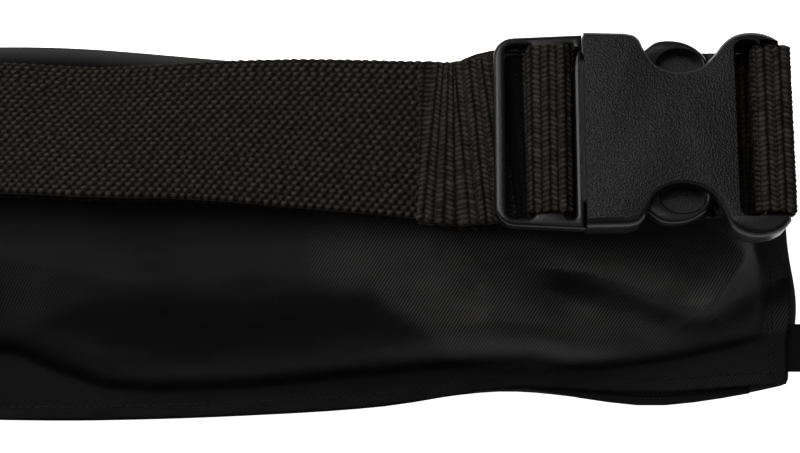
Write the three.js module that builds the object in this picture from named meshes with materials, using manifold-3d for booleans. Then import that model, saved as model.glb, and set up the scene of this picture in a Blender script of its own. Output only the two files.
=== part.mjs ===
// Inflatable belt pack, lying on its front cover with the belt side up.
// Millimetres. X runs along the belt, Y across the pack toward its top edge, Z up from the surface.
import * as THREE from 'three';
import { mergeVertices } from 'three/addons/utils/BufferGeometryUtils.js';
import Module from 'manifold-3d';

// Pouch
const POUCH_LENGTH = 340;
const POUCH_HEIGHT = 115;
const RIGHT_END_X = 123;
const BACK_RISE = 32;
const CLOTH = 1.5;
const TOP_FLANGE = 8;
const END_FLANGE = 9;
const FRONT_RIM_Z = 20;
const FRONT_DEPTH = 26;
const END_ROUNDNESS = 8;
const FRONT_SQUARENESS = 6;

// Zip and end tab
const ZIP_WIDTH = 9;
const ZIP_TAPE = 1;
const COIL_HEIGHT = 2.3;
const COIL_WIDTH = 3.6;
const TAB_WIDTH = 15;
const TAB_REACH = 17;
const TAB_CLOTH = 1;
const TAB_FROM_EDGE = 4;

// Packed air cell
const CELL_CLEARANCE = 5;

// Belt webbing
const WEB_THICK = 2;
const WAIST_GAP = 7;
const LEFT_REACH = 72;
const FLOOR_REACH = 50;
const DESCENT_START = 34;
const HEM_LENGTH = 14;
const TAIL_LENGTH = 24;
const LAP_LENGTH = 24;
const BELT_STEP = 8;
const REAR_BEND = 30;
const STEP_BEND = 8;

// Buckle, measured from the parting line between its halves
const BUCKLE_X = 53.5;
const BUCKLE_ROLL = 5;
const FRAME_WIDTH = 57.4;
const FRAME_LENGTH = 26;
const FRAME_THICK = 6;
const FRAME_EDGE = 1;
const FRAME_BAR = 3.5;
const FRAME_RAIL = 3.5;
const FRAME_CORNER = 6;
const SLOT_CORNER = 1.5;
const MIDDLE_BAR = 8.7;
const OUTER_SLOT = 8.5;
const INNER_SLOT = 4.6;
const HOUSING_LENGTH = 59.6;
const HOUSING_THICK = 13.6;
const HOUSING_BOX = 16.5;
const HOUSING_WAIST = 34;
const HOUSING_EDGE = 2.2;
const WAIST_FLARE = 11.5;
const EAR_LENGTH = 17.6;
const EAR_FLARE = 12;
const EAR_CORNER = 4;
const SOCKET_WALL = 4.2;
const SOCKET_END_WALL = 4.7;
const STRAP_BAR = 5.9;
const STRAP_BAR_THICK = 5;
const STRAP_SLOT = 9.1;
const PRONG_INSET = 3.1;
const PRONG_END_PLAY = 2;
const PRONG_DEPTH = 14;
const PRONG_ROOT = 12;
const PRONG_NOSE = 8;
const PRONG_SWELL = 1.5;
const PRONG_FLANK = 2;
const PRONG_SHOULDER = 5;
const PRONG_HOLE_WIDTH = 10.4;
const PRONG_HOLE_START = 4.5;
const PRONG_HOLE_END = 3.5;

// Clearances
const GAP = 0.35;
const FIT = 0.4;
const SLOT_PLAY = 0.7;
const FOLD_SLIT = 0.05;
const BELT_CLEARANCE = 0.8;

// Widths that follow the buckle's
const SLOT_WIDTH = FRAME_WIDTH - 2 * FRAME_RAIL;
const WEB_WIDTH = SLOT_WIDTH - 2 * SLOT_PLAY;
const CAVITY_WIDTH = FRAME_WIDTH - 2 * SOCKET_WALL;
const PRONG_WIDTH = FRAME_WIDTH - 2 * PRONG_INSET;

// The pouch outline and its roundness, from the left end to the right end.
// along: share of the length. bottom, top, front_top: shares of the height from the middle line.
// crease: share of the height from the bottom edge to the fold where the bulge starts.
// tuck: share of the height by which the back panel's edge stops short of the zip.
// round: how square the bulge is, 2 for an ellipse.
const OUTLINE = [
  { along: 0.0, bottom: -0.44, top: 0.4, front_top: 0.43, crease: 0.1, tuck: 0, round: 2.2 },
  { along: 0.1, bottom: -0.485, top: 0.45, front_top: 0.5, crease: 0.1, tuck: 0, round: 2.1 },
  { along: 0.27, bottom: -0.497, top: 0.47, front_top: 0.53, crease: 0.2, tuck: 0, round: 2.0 },
  { along: 0.36, bottom: -0.498, top: 0.47, front_top: 0.525, crease: 0.105, tuck: 0, round: 2.0 },
  { along: 0.49, bottom: -0.486, top: 0.465, front_top: 0.5, crease: 0.092, tuck: 0, round: 2.3 },
  { along: 0.62, bottom: -0.461, top: 0.46, front_top: 0.48, crease: 0.104, tuck: 0, round: 2.8 },
  { along: 0.745, bottom: -0.409, top: 0.455, front_top: 0.475, crease: 0.08, tuck: 0, round: 3.2 },
  { along: 0.8, bottom: -0.435, top: 0.455, front_top: 0.475, crease: 0.09, tuck: 0.02, round: 3.2 },
  { along: 0.87, bottom: -0.458, top: 0.455, front_top: 0.475, crease: 0.128, tuck: 0.034, round: 3.2 },
  { along: 0.94, bottom: -0.436, top: 0.45, front_top: 0.47, crease: 0.145, tuck: 0.025, round: 3.0 },
  { along: 1.0, bottom: -0.4, top: 0.43, front_top: 0.45, crease: 0.14, tuck: 0, round: 3.0 },
];

// Folds of the back panel: a raised or sunk line between two places.
// x0, x1: shares of the length. y0, y1: shares of the height from the middle line.
// spread: share of the height. lift: share of the bulge's rise, below zero for a hollow.
const FOLDS = [
  { name: 'v_crease_left', x0: 0.754, y0: -0.1, x1: 0.91, y1: -0.222, spread: 0.035, lift: -0.1 },
  { name: 'v_crease_right', x0: 0.91, y0: -0.222, x1: 0.985, y1: -0.12, spread: 0.035, lift: -0.1 },
  { name: 'peak_ridge', x0: 0.915, y0: -0.2, x1: 0.95, y1: -0.07, spread: 0.04, lift: 0.11 },
  { name: 'peak_valley', x0: 0.965, y0: -0.1, x1: 0.952, y1: -0.19, spread: 0.05, lift: -0.1 },
  { name: 'long_hollow', x0: 0.727, y0: -0.13, x1: 0.847, y1: -0.3, spread: 0.07, lift: -0.12 },
  { name: 'low_bulge', x0: 0.715, y0: -0.25, x1: 0.835, y1: -0.325, spread: 0.06, lift: 0.09 },
  { name: 'pinch', x0: 0.684, y0: -0.085, x1: 0.702, y1: -0.128, spread: 0.025, lift: -0.06 },
  { name: 'left_sag', x0: 0.2, y0: -0.27, x1: 0.36, y1: -0.37, spread: 0.06, lift: -0.12 },
];

// The near strand of the belt along the pouch: roll in degrees, middle: share of the height
// from the middle line of the pouch to the middle of the webbing.
const BELT_LIE = [
  { along: 0.0, roll: 18, middle: 0.252 },
  { along: 0.16, roll: 27, middle: 0.262 },
  { along: 0.29, roll: 31.5, middle: 0.2615 },
  { along: 0.37, roll: 32, middle: 0.252 },
  { along: 0.47, roll: 26.6, middle: 0.2555 },
  { along: 0.55, roll: 20.4, middle: 0.247 },
  { along: 0.64, roll: 15.6, middle: 0.2295 },
  { along: 0.69, roll: 11, middle: 0.218 },
];
const BELT_MIDDLE = 0.215;

const COLOURS = {
  twill: { color: 0x17171a, roughness: 0.8 },
  cover: { color: 0x2b2c2f, roughness: 0.6 },
  webbing: { color: 0x1f1b18, roughness: 0.95 },
  plastic: { color: 0x161617, roughness: 0.45 },
  zip: { color: 0x101011, roughness: 0.6 },
  cell: { color: 0x8a8f94, roughness: 0.7 },
};

const radians = (degrees) => (degrees * Math.PI) / 180;
const clamp = (value, low, high) => Math.min(high, Math.max(low, value));
const mix = (a, b, share) => a + (b - a) * share;

function ease(from, to, value) {
  const share = clamp((value - from) / (to - from), 0, 1);
  return share * share * (3 - 2 * share);
}

// A smooth curve through a table's rows, by their column "along".
function follow(rows, column, along) {
  const last = rows.length - 1;
  const place = clamp(along, rows[0].along, rows[last].along);
  let i = 0;
  while (i < last - 1 && rows[i + 1].along < place) i += 1;
  const slope = (k) => {
    const a = rows[Math.max(k - 1, 0)];
    const b = rows[Math.min(k + 1, last)];
    return (b[column] - a[column]) / (b.along - a.along);
  };
  const step = rows[i + 1].along - rows[i].along;
  const t = (place - rows[i].along) / step;
  const h = t * t * (3 - 2 * t);
  const bend = t * (1 - t) * ((1 - t) * slope(i) - t * slope(i + 1)) * step;
  return mix(rows[i][column], rows[i + 1][column], h) + bend;
}

const leftEndX = RIGHT_END_X - POUCH_LENGTH;
const alongPouch = (x) => (x - leftEndX) / POUCH_LENGTH;
const pouchX = (along) => leftEndX + along * POUCH_LENGTH;
const edgeY = (column, along) => POUCH_HEIGHT * follow(OUTLINE, column, along);
const zipBase = FRONT_RIM_Z + GAP;
const backSeamHigh = zipBase + COIL_HEIGHT + GAP;
const backSeamLow = FRONT_RIM_Z + GAP;

// The back panel's seam runs over the zip at the bottom and straight on the cover elsewhere.
function backSeamZ(y) {
  const share = ease(-0.3 * POUCH_HEIGHT, 0.1 * POUCH_HEIGHT, y);
  return mix(backSeamHigh, backSeamLow, share);
}

function backEdges(along) {
  const low = edgeY('bottom', along) + edgeY('tuck', along);
  const high = edgeY('top', along);
  return { low, crease: edgeY('bottom', along) + edgeY('crease', along), shoulder: high - TOP_FLANGE, high };
}

// Height share of a bulge between two ends, 0 at either end and 1 in the middle.
function bulge(share, squareness) {
  const t = Math.abs(2 * share - 1);
  return t >= 1 ? 0 : Math.sqrt(1 - t ** squareness);
}

function endShare(x) {
  return (x - leftEndX - END_FLANGE) / (POUCH_LENGTH - 2 * END_FLANGE);
}

function foldLift(x, y) {
  let lift = 0;
  for (const fold of FOLDS) {
    const ax = pouchX(fold.x0);
    const ay = fold.y0 * POUCH_HEIGHT;
    const dx = pouchX(fold.x1) - ax;
    const dy = fold.y1 * POUCH_HEIGHT - ay;
    const t = clamp(((x - ax) * dx + (y - ay) * dy) / (dx * dx + dy * dy), 0, 1);
    const away = Math.hypot(x - ax - t * dx, y - ay - t * dy) / (fold.spread * POUCH_HEIGHT);
    lift += fold.lift * BACK_RISE * Math.exp(-away * away);
  }
  return lift;
}

// Outer height of the back panel at a place in its plan.
function backHeight(x, y) {
  const along = alongPouch(x);
  const edge = backEdges(along);
  const across = (y - edge.crease) / (edge.shoulder - edge.crease);
  const dome = bulge(across, follow(OUTLINE, 'round', along)) * bulge(endShare(x), END_ROUNDNESS);
  const foldShare = ease(0, 0.5, dome) * (1 - ease(-0.08 * POUCH_HEIGHT, 0, y));
  return backSeamZ(y) + CLOTH + BACK_RISE * dome + foldLift(x, y) * foldShare;
}

// Outer height of the front cover, flat where it lies on the surface.
function frontHeight(x, y) {
  const along = alongPouch(x);
  const low = edgeY('bottom', along) + TOP_FLANGE;
  const high = edgeY('front_top', along) - TOP_FLANGE / 2;
  const across = (y - low) / (high - low);
  const depth = bulge(across, FRONT_SQUARENESS) * bulge(endShare(x), END_ROUNDNESS);
  return Math.max(0, FRONT_RIM_Z - CLOTH - FRONT_DEPTH * depth);
}

// Shares of a span, crowded toward its ends as on a half circle.
function crowded(count) {
  return Array.from({ length: count + 1 }, (_, i) => (1 - Math.cos((Math.PI * i) / count)) / 2);
}

// Stations along the pouch: the end flanges, then the bulge between them.
function lengthStations(count) {
  const inner = crowded(count).map((share) => mix(share, ease(0, 1, share), 0.2));
  const from = leftEndX + END_FLANGE;
  const to = RIGHT_END_X - END_FLANGE;
  const half = END_FLANGE / 2;
  return [leftEndX, leftEndX + half, ...inner.map((share) => mix(from, to, share)), to + half, RIGHT_END_X];
}

// A closed body between a grid of points and the same grid pushed along its normals.
function wallFromGrid(grid, thickness) {
  const rows = grid.length;
  const columns = grid[0].length;
  const at = (i, j) => grid[clamp(i, 0, rows - 1)][clamp(j, 0, columns - 1)];
  const inner = grid.map((row, i) =>
    row.map((point, j) => {
      const a = at(i + 1, j).clone().sub(at(i - 1, j));
      const b = at(i, j + 1).clone().sub(at(i, j - 1));
      return point.clone().addScaledVector(a.cross(b).normalize(), -thickness);
    }),
  );
  return bodyBetween(grid, inner);
}

// A closed body between two grids of the same size. The outer one's normals point out.
function bodyBetween(outer, inner) {
  const rows = outer.length;
  const columns = outer[0].length;
  const positions = [...outer.flat(), ...inner.flat()].flatMap((p) => [p.x, p.y, p.z]);
  const id = (layer, i, j) => layer * rows * columns + i * columns + j;
  const index = [];
  const quad = (a, b, c, d) => index.push(a, b, c, a, c, d);
  for (let i = 0; i < rows - 1; i += 1) {
    for (let j = 0; j < columns - 1; j += 1) {
      quad(id(0, i, j), id(0, i + 1, j), id(0, i + 1, j + 1), id(0, i, j + 1));
      quad(id(1, i, j), id(1, i, j + 1), id(1, i + 1, j + 1), id(1, i + 1, j));
    }
  }
  for (let i = 0; i < rows - 1; i += 1) {
    quad(id(0, i, 0), id(1, i, 0), id(1, i + 1, 0), id(0, i + 1, 0));
    const end = columns - 1;
    quad(id(0, i, end), id(0, i + 1, end), id(1, i + 1, end), id(1, i, end));
  }
  for (let j = 0; j < columns - 1; j += 1) {
    quad(id(0, 0, j), id(0, 0, j + 1), id(1, 0, j + 1), id(1, 0, j));
    const end = rows - 1;
    quad(id(0, end, j), id(1, end, j), id(1, end, j + 1), id(0, end, j + 1));
  }
  return indexed(positions, index);
}

function indexed(positions, index) {
  const geometry = new THREE.BufferGeometry();
  geometry.setAttribute('position', new THREE.Float32BufferAttribute(positions, 3));
  geometry.setIndex(index);
  geometry.computeVertexNormals();
  return geometry;
}

function backPanel() {
  const across = crowded(18);
  const grid = lengthStations(36).map((x) => {
    const edge = backEdges(alongPouch(x));
    const ys = across.map((share) => mix(edge.crease, edge.shoulder, share));
    ys.unshift(edge.low, mix(edge.low, edge.crease, 0.5));
    ys.push(mix(edge.shoulder, edge.high, 0.5), edge.high);
    return ys.map((y) => new THREE.Vector3(x, y, backHeight(x, y)));
  });
  return wallFromGrid(grid, CLOTH);
}

function frontPanel() {
  const across = crowded(12);
  const grid = lengthStations(20).map((x) => {
    const along = alongPouch(x);
    const low = edgeY('bottom', along);
    const high = edgeY('front_top', along);
    const from = low + TOP_FLANGE;
    const to = high - TOP_FLANGE / 2;
    const ys = [low, mix(low, from, 0.5), ...across.map((share) => mix(from, to, share)), high];
    return ys.reverse().map((y) => new THREE.Vector3(x, y, frontHeight(x, y)));
  });
  return wallFromGrid(grid, CLOTH);
}

// The folded air cell and its inflator, as one plain body that fills the pouch and holds its form.
function packedAirCell() {
  const inset = END_FLANGE + 3 * CELL_CLEARANCE;
  const xs = crowded(16).map((share) => mix(leftEndX + inset, RIGHT_END_X - inset, share));
  const top = [];
  const base = [];
  for (const x of xs) {
    const along = alongPouch(x);
    const edge = backEdges(along);
    const from = Math.max(edge.crease, edgeY('bottom', along) + TOP_FLANGE) + 2 * CELL_CLEARANCE;
    const ys = crowded(10).map((share) => mix(from, edge.shoulder - 2 * CELL_CLEARANCE, share));
    const topOf = (y) => backHeight(x, y) - Math.abs(foldLift(x, y)) - CLOTH - CELL_CLEARANCE;
    top.push(ys.map((y) => new THREE.Vector3(x, y, topOf(y))));
    const outX = x + Math.sign(along - 0.5) * CELL_CLEARANCE;
    const baseOf = (y) => frontHeight(outX, y + Math.sign(y) * CELL_CLEARANCE) + CLOTH + GAP;
    base.push(ys.map((y) => new THREE.Vector3(x, y, baseOf(y))));
  }
  return bodyBetween(top, base);
}

// A closed body lofted through rings of the same count, with flat ends.
function loft(rings) {
  const count = rings[0].length;
  const positions = rings.flat().flatMap((p) => [p.x, p.y, p.z]);
  const index = [];
  for (let i = 0; i < rings.length - 1; i += 1) {
    for (let j = 0; j < count; j += 1) {
      const a = i * count + j;
      const b = i * count + ((j + 1) % count);
      index.push(a, b, b + count, a, b + count, a + count);
    }
  }
  const section = rings[0].map((p) => new THREE.Vector2(p.y, p.z));
  const end = (rings.length - 1) * count;
  for (const [a, b, c] of THREE.ShapeUtils.triangulateShape(section, [])) {
    index.push(a, c, b, end + a, end + b, end + c);
  }
  return indexed(positions, index);
}

function zipChain() {
  const from = alongPouch(leftEndX + END_FLANGE);
  const to = alongPouch(RIGHT_END_X - END_FLANGE - TAB_FROM_EDGE);
  const coilFrom = (ZIP_WIDTH - COIL_WIDTH) / 2;
  const flank = (COIL_HEIGHT - ZIP_TAPE) / 2;
  const section = [
    [0, 0],
    [ZIP_WIDTH, 0],
    [ZIP_WIDTH, ZIP_TAPE],
    [coilFrom + COIL_WIDTH, ZIP_TAPE],
    [coilFrom + COIL_WIDTH - flank, COIL_HEIGHT],
    [coilFrom + flank, COIL_HEIGHT],
    [coilFrom, ZIP_TAPE],
    [0, ZIP_TAPE],
  ];
  const stations = 36;
  const rings = [];
  for (let i = 0; i <= stations; i += 1) {
    const along = mix(from, to, i / stations);
    const edge = edgeY('bottom', along);
    rings.push(section.map(([inward, up]) => new THREE.Vector3(pouchX(along), edge + inward, zipBase + up)));
  }
  return loft(rings);
}

// A doubled tab of tape, its two ends held in the seam of the right end.
function endTab() {
  const height = COIL_HEIGHT;
  const start = -END_FLANGE;
  const bend = TAB_REACH - height / 2;
  const hollow = height / 2 - TAB_CLOTH;
  const shape = new THREE.Shape();
  shape.moveTo(start, 0);
  shape.lineTo(bend, 0);
  shape.absarc(bend, height / 2, height / 2, -Math.PI / 2, Math.PI / 2, false);
  shape.lineTo(start, height);
  shape.lineTo(start, height - TAB_CLOTH);
  shape.lineTo(bend, height - TAB_CLOTH);
  shape.absarc(bend, height / 2, hollow, Math.PI / 2, -Math.PI / 2, true);
  shape.lineTo(start, TAB_CLOTH);
  shape.closePath();
  return new THREE.ExtrudeGeometry(shape, { depth: TAB_WIDTH, bevelEnabled: false, curveSegments: 6 });
}

// The belt's route in its own plane: x along the belt, z up from the near strand's middle.
const layer = WEB_THICK + GAP;
const rearLevel = -(WEB_THICK + WAIST_GAP);
const tailLevel = 2 * layer;
const frameLevel = tailLevel + WEB_THICK / 2 + GAP + FRAME_THICK / 2;
const lapLevel = frameLevel - HOUSING_THICK / 2 - GAP - WEB_THICK / 2;
const rearRightLevel = lapLevel - layer;
const frameLeftX = BUCKLE_X - FRAME_LENGTH;
const middleBarLeft = frameLeftX + FRAME_BAR + OUTER_SLOT;
const middleBarRight = middleBarLeft + MIDDLE_BAR;
const strapBarRight = BUCKLE_X + HOUSING_LENGTH - FIT;
const strapBarLeft = strapBarRight - STRAP_BAR;
const besideBar = GAP + WEB_THICK / 2;
const strapSlotFrom = strapBarLeft - STRAP_SLOT - BUCKLE_X;
const socketLength = strapSlotFrom - SOCKET_END_WALL;
const prongReach = socketLength - PRONG_END_PLAY;
const leftFoldX = leftEndX - LEFT_REACH;

function beltRoute() {
  const overFrame = frameLevel + FRAME_THICK / 2 + besideBar;
  const overStrapBar = frameLevel + STRAP_BAR_THICK / 2 + besideBar;
  const upSlot = strapBarLeft - besideBar;
  const downEnd = strapBarRight + besideBar;
  const upInner = middleBarRight + besideBar;
  const downOuter = middleBarLeft - besideBar;
  const tailEnd = frameLeftX - TAIL_LENGTH;
  const hemTurn = layer / 2;
  const waistTurn = -rearLevel / 2;
  return [
    { x: upSlot - LAP_LENGTH, z: lapLevel, radius: 0 },
    { x: upSlot, z: lapLevel, radius: 2 * besideBar },
    { x: upSlot, z: overStrapBar, radius: besideBar },
    { x: downEnd, z: overStrapBar, radius: besideBar },
    { x: downEnd, z: rearRightLevel, radius: 3 * besideBar },
    { x: BUCKLE_X, z: rearRightLevel, radius: REAR_BEND },
    { x: frameLeftX, z: rearLevel, radius: REAR_BEND },
    { x: leftFoldX, z: rearLevel, radius: waistTurn },
    { x: leftFoldX, z: 0, radius: waistTurn },
    { x: frameLeftX - 2 * layer, z: 0, radius: STEP_BEND },
    { x: frameLeftX, z: layer, radius: STEP_BEND },
    { x: upInner, z: layer, radius: 2 * besideBar },
    { x: upInner, z: overFrame, radius: 2 * besideBar },
    { x: downOuter, z: overFrame, radius: 2 * besideBar },
    { x: downOuter, z: tailLevel, radius: besideBar },
    { x: tailEnd, z: tailLevel, radius: hemTurn },
    { x: tailEnd, z: layer, radius: hemTurn },
    { x: tailEnd + HEM_LENGTH, z: layer, radius: 0 },
  ];
}

// Turn between two points of a bend, in radians.
const ARC_STEP = 0.4;

// The route as closely spaced points: an arc at each corner, and steps on the long runs.
function rounded(corners, stepLength) {
  const path = [new THREE.Vector2(corners[0].x, corners[0].z)];
  const runTo = (point) => {
    const start = path[path.length - 1].clone();
    const steps = Math.max(1, Math.ceil(start.distanceTo(point) / stepLength));
    for (let k = 1; k <= steps; k += 1) path.push(start.clone().lerp(point, k / steps));
  };
  for (let i = 1; i < corners.length - 1; i += 1) {
    const here = new THREE.Vector2(corners[i].x, corners[i].z);
    const back = new THREE.Vector2(corners[i - 1].x, corners[i - 1].z).sub(here).normalize();
    const ahead = new THREE.Vector2(corners[i + 1].x, corners[i + 1].z).sub(here).normalize();
    const turn = Math.PI - Math.acos(clamp(back.dot(ahead), -1, 1));
    const cut = corners[i].radius * Math.tan(turn / 2);
    const from = here.clone().addScaledVector(back, cut);
    const to = here.clone().addScaledVector(ahead, cut);
    if (path[path.length - 1].distanceTo(from) > GAP / 2) runTo(from);
    const { radius } = corners[i];
    const halfway = back.clone().add(ahead).normalize();
    const middle = here.clone().addScaledVector(halfway, radius / Math.cos(turn / 2));
    const steps = Math.max(2, Math.ceil(turn / ARC_STEP));
    const angle = Math.atan2(from.y - middle.y, from.x - middle.x);
    const sweep = back.cross(ahead) > 0 ? -turn : turn;
    for (let k = 1; k <= steps; k += 1) {
      const a = angle + (sweep * k) / steps;
      path.push(new THREE.Vector2(middle.x + radius * Math.cos(a), middle.y + radius * Math.sin(a)));
    }
  }
  const last = corners[corners.length - 1];
  runTo(new THREE.Vector2(last.x, last.z));
  return path;
}

const floorX = leftEndX - FLOOR_REACH;

function beltRoll(x) {
  const outside = ease(floorX, leftEndX, x);
  const inside = follow(BELT_LIE, 'roll', alongPouch(x)) * outside;
  return radians(mix(inside, BUCKLE_ROLL, ease(frameLeftX - TAIL_LENGTH / 2, frameLeftX, x)));
}

function beltMiddleY(x) {
  const share = ease(frameLeftX - TAIL_LENGTH, frameLeftX, x);
  return POUCH_HEIGHT * mix(follow(BELT_LIE, 'middle', alongPouch(x)), BELT_MIDDLE, share);
}

// Depth of the rear strand's lower face under the near strand's middle, at a place along the belt.
function rearDepth(x) {
  const share = clamp((x - frameLeftX) / (BUCKLE_X - frameLeftX), 0, 1);
  return -mix(rearLevel, rearRightLevel, share) + WEB_THICK / 2;
}

// The lowest the belt can lie at x with its rear strand clear of the back panel.
function clearHeight(x) {
  const roll = beltRoll(x);
  const depth = rearDepth(x);
  let height = 0;
  for (let i = 0; i <= 8; i += 1) {
    const w = WEB_WIDTH * (i / 8 - 0.5);
    const y = beltMiddleY(x) + w * Math.cos(roll) - depth * Math.sin(roll);
    const over = backHeight(x, y) + BELT_CLEARANCE;
    height = Math.max(height, over + w * Math.sin(roll) + depth * Math.cos(roll));
  }
  return height;
}

const underBuckle = [0, 0.25, 0.5, 0.75, 1].map((share) => mix(frameLeftX, strapBarLeft - STRAP_SLOT, share));
const buckleHeight = Math.max(...underBuckle.map(clearHeight));
const slopeStartX = leftEndX + DESCENT_START;
const slopeStartHeight = clearHeight(slopeStartX);

// Height of the near strand's middle: level under the buckle, on the pouch, then down to the surface.
function beltHeight(x) {
  if (x < slopeStartX) {
    const floor = rearDepth(x);
    const slope = mix(floor, slopeStartHeight, ease(floorX, slopeStartX, x));
    return x > leftEndX - BELT_STEP ? Math.max(slope, clearHeight(Math.max(x, leftEndX))) : slope;
  }
  if (x > frameLeftX) return buckleHeight;
  return mix(clearHeight(x), buckleHeight, ease(frameLeftX - 2 * TAIL_LENGTH, frameLeftX, x));
}

function beltPoint(x, level, w = 0) {
  const roll = beltRoll(x);
  const y = beltMiddleY(x) + w * Math.cos(roll) + level * Math.sin(roll);
  return new THREE.Vector3(x, y, beltHeight(x) - w * Math.sin(roll) + level * Math.cos(roll));
}

// A closed strip through rings of four corners, with flat ends.
function strip(rings) {
  const index = [];
  for (let i = 0; i < rings.length - 1; i += 1) {
    for (let j = 0; j < 4; j += 1) {
      const a = 4 * i + j;
      const b = 4 * i + ((j + 1) % 4);
      index.push(a, b, b + 4, a, b + 4, a + 4);
    }
  }
  const end = 4 * (rings.length - 1);
  index.push(0, 2, 1, 0, 3, 2, end, end + 1, end + 2, end, end + 2, end + 3);
  return indexed(rings.flat().flatMap((p) => [p.x, p.y, p.z]), index);
}

// The belt's rear and near strands, which meet at its far fold.
function beltStrands() {
  const path = rounded(beltRoute(), BELT_STEP);
  const middles = path.map((p) => beltPoint(p.x, p.y));
  const rings = path.map((p, i) => {
    const ahead = middles[Math.min(i + 1, path.length - 1)].clone();
    const along = ahead.sub(middles[Math.max(i - 1, 0)]).normalize();
    const roll = beltRoll(p.x);
    const across = new THREE.Vector3(0, Math.cos(roll), -Math.sin(roll));
    across.addScaledVector(along, -across.dot(along)).normalize();
    const up = along.clone().cross(across);
    return [[-1, -1], [1, -1], [1, 1], [-1, 1]].map(([side, face]) =>
      middles[i]
        .clone()
        .addScaledVector(across, (side * WEB_WIDTH) / 2)
        .addScaledVector(up, (face * WEB_THICK) / 2),
    );
  });
  const fold = path.findIndex((p) => p.x < leftEndX && p.y > rearLevel / 2 - GAP);
  const raised = rings[fold].map((p) => p.clone().setZ(p.z + FOLD_SLIT));
  return { rear: strip(rings.slice(0, fold + 1)), near: strip([raised, ...rings.slice(fold + 1)]) };
}

// A rectangle with round corners, from its low corner to its high one.
function roundRect(path, x0, y0, x1, y1, radius) {
  const r = Math.min(radius, (x1 - x0) / 2 - GAP / 4, (y1 - y0) / 2 - GAP / 4);
  path.moveTo(x0 + r, y0);
  path.lineTo(x1 - r, y0);
  path.absarc(x1 - r, y0 + r, r, -Math.PI / 2, 0, false);
  path.lineTo(x1, y1 - r);
  path.absarc(x1 - r, y1 - r, r, 0, Math.PI / 2, false);
  path.lineTo(x0 + r, y1);
  path.absarc(x0 + r, y1 - r, r, Math.PI / 2, Math.PI, false);
  path.lineTo(x0, y0 + r);
  path.absarc(x0 + r, y0 + r, r, Math.PI, 1.5 * Math.PI, false);
  return path;
}

// A flat shape as a plate around z 0, its rim rounded off by a bevel.
function plate(shape, thickness, edge, curveSegments = 5) {
  const geometry = new THREE.ExtrudeGeometry(shape, {
    depth: thickness - 2 * edge,
    bevelEnabled: edge > 0,
    bevelThickness: edge,
    bevelSize: edge,
    bevelOffset: -edge,
    bevelSegments: 2,
    curveSegments,
  });
  return geometry.translate(0, 0, edge - thickness / 2);
}

const wasm = await Module();
wasm.setup();

function solidOf(geometry) {
  const bare = geometry.clone();
  bare.deleteAttribute('normal');
  bare.deleteAttribute('uv');
  const merged = mergeVertices(bare, 1e-4);
  return new wasm.Manifold(new wasm.Mesh({
    numProp: 3,
    vertProperties: new Float32Array(merged.attributes.position.array),
    triVerts: new Uint32Array(merged.index.array),
  }));
}

function geometryOf(solid) {
  const mesh = solid.getMesh();
  return indexed(Array.from(mesh.vertProperties), Array.from(mesh.triVerts));
}

// The frame that the belt is threaded through, and the two prongs that snap into the housing.
function maleHalf() {
  const left = -FRAME_LENGTH;
  const base = INNER_SLOT + MIDDLE_BAR + OUTER_SLOT + FRAME_BAR - FRAME_LENGTH;
  const side = FRAME_WIDTH / 2;
  const frame = roundRect(new THREE.Shape(), left, -side, base + FRAME_BAR, side, FRAME_CORNER);
  const outerFrom = left + FRAME_BAR;
  const innerFrom = outerFrom + OUTER_SLOT + MIDDLE_BAR;
  const half = SLOT_WIDTH / 2;
  frame.holes.push(roundRect(new THREE.Path(), outerFrom, -half, outerFrom + OUTER_SLOT, half, SLOT_CORNER));
  frame.holes.push(roundRect(new THREE.Path(), innerFrom, -half, innerFrom + INNER_SLOT, half, SLOT_CORNER));
  let solid = solidOf(plate(frame, FRAME_THICK, FRAME_EDGE));
  const housingFace = new THREE.BoxGeometry(FRAME_LENGTH, 2 * FRAME_WIDTH, 2 * FRAME_THICK);
  solid = solid.subtract(solidOf(housingFace.translate(FRAME_LENGTH / 2 - FIT, 0, 0)));
  const prongHalf = PRONG_WIDTH / 2;
  const baseHalf = CAVITY_WIDTH / 2 - FIT - PRONG_FLANK;
  const straight = HOUSING_BOX - PRONG_SHOULDER;
  const bendIn = HOUSING_BOX - 0.2 * PRONG_SHOULDER;
  const bendOut = HOUSING_BOX + 0.6 * PRONG_SHOULDER;
  const noseFrom = prongReach - PRONG_NOSE;
  const root = base + PRONG_SHOULDER;
  const shape = new THREE.Shape();
  shape.moveTo(base, -baseHalf);
  shape.lineTo(straight, -baseHalf);
  shape.quadraticCurveTo(bendIn, -baseHalf, bendOut, -prongHalf);
  shape.quadraticCurveTo(prongReach, -prongHalf - PRONG_SWELL, prongReach, -prongHalf + PRONG_NOSE);
  shape.quadraticCurveTo(prongReach, -prongHalf + PRONG_DEPTH, noseFrom, -prongHalf + PRONG_DEPTH);
  shape.lineTo(root, -prongHalf + PRONG_ROOT);
  shape.lineTo(root, prongHalf - PRONG_ROOT);
  shape.lineTo(noseFrom, prongHalf - PRONG_DEPTH);
  shape.quadraticCurveTo(prongReach, prongHalf - PRONG_DEPTH, prongReach, prongHalf - PRONG_NOSE);
  shape.quadraticCurveTo(prongReach, prongHalf + PRONG_SWELL, bendOut, prongHalf);
  shape.quadraticCurveTo(bendIn, baseHalf, straight, baseHalf);
  shape.lineTo(base, baseHalf);
  shape.closePath();
  const holeFrom = HOUSING_BOX + PRONG_HOLE_START;
  const holeTo = prongReach - PRONG_HOLE_END;
  for (const end of [-1, 1]) {
    const hole = new THREE.Path();
    const middle = end * (prongHalf - PRONG_FLANK - PRONG_HOLE_WIDTH / 2);
    const long = (holeTo - holeFrom) / 2;
    hole.absellipse((holeFrom + holeTo) / 2, middle, long, PRONG_HOLE_WIDTH / 2, 0, 2 * Math.PI, false, 0);
    shape.holes.push(hole);
  }
  solid = solid.add(solidOf(plate(shape, FRAME_THICK, 0, 6)));
  return geometryOf(solid);
}

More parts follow.
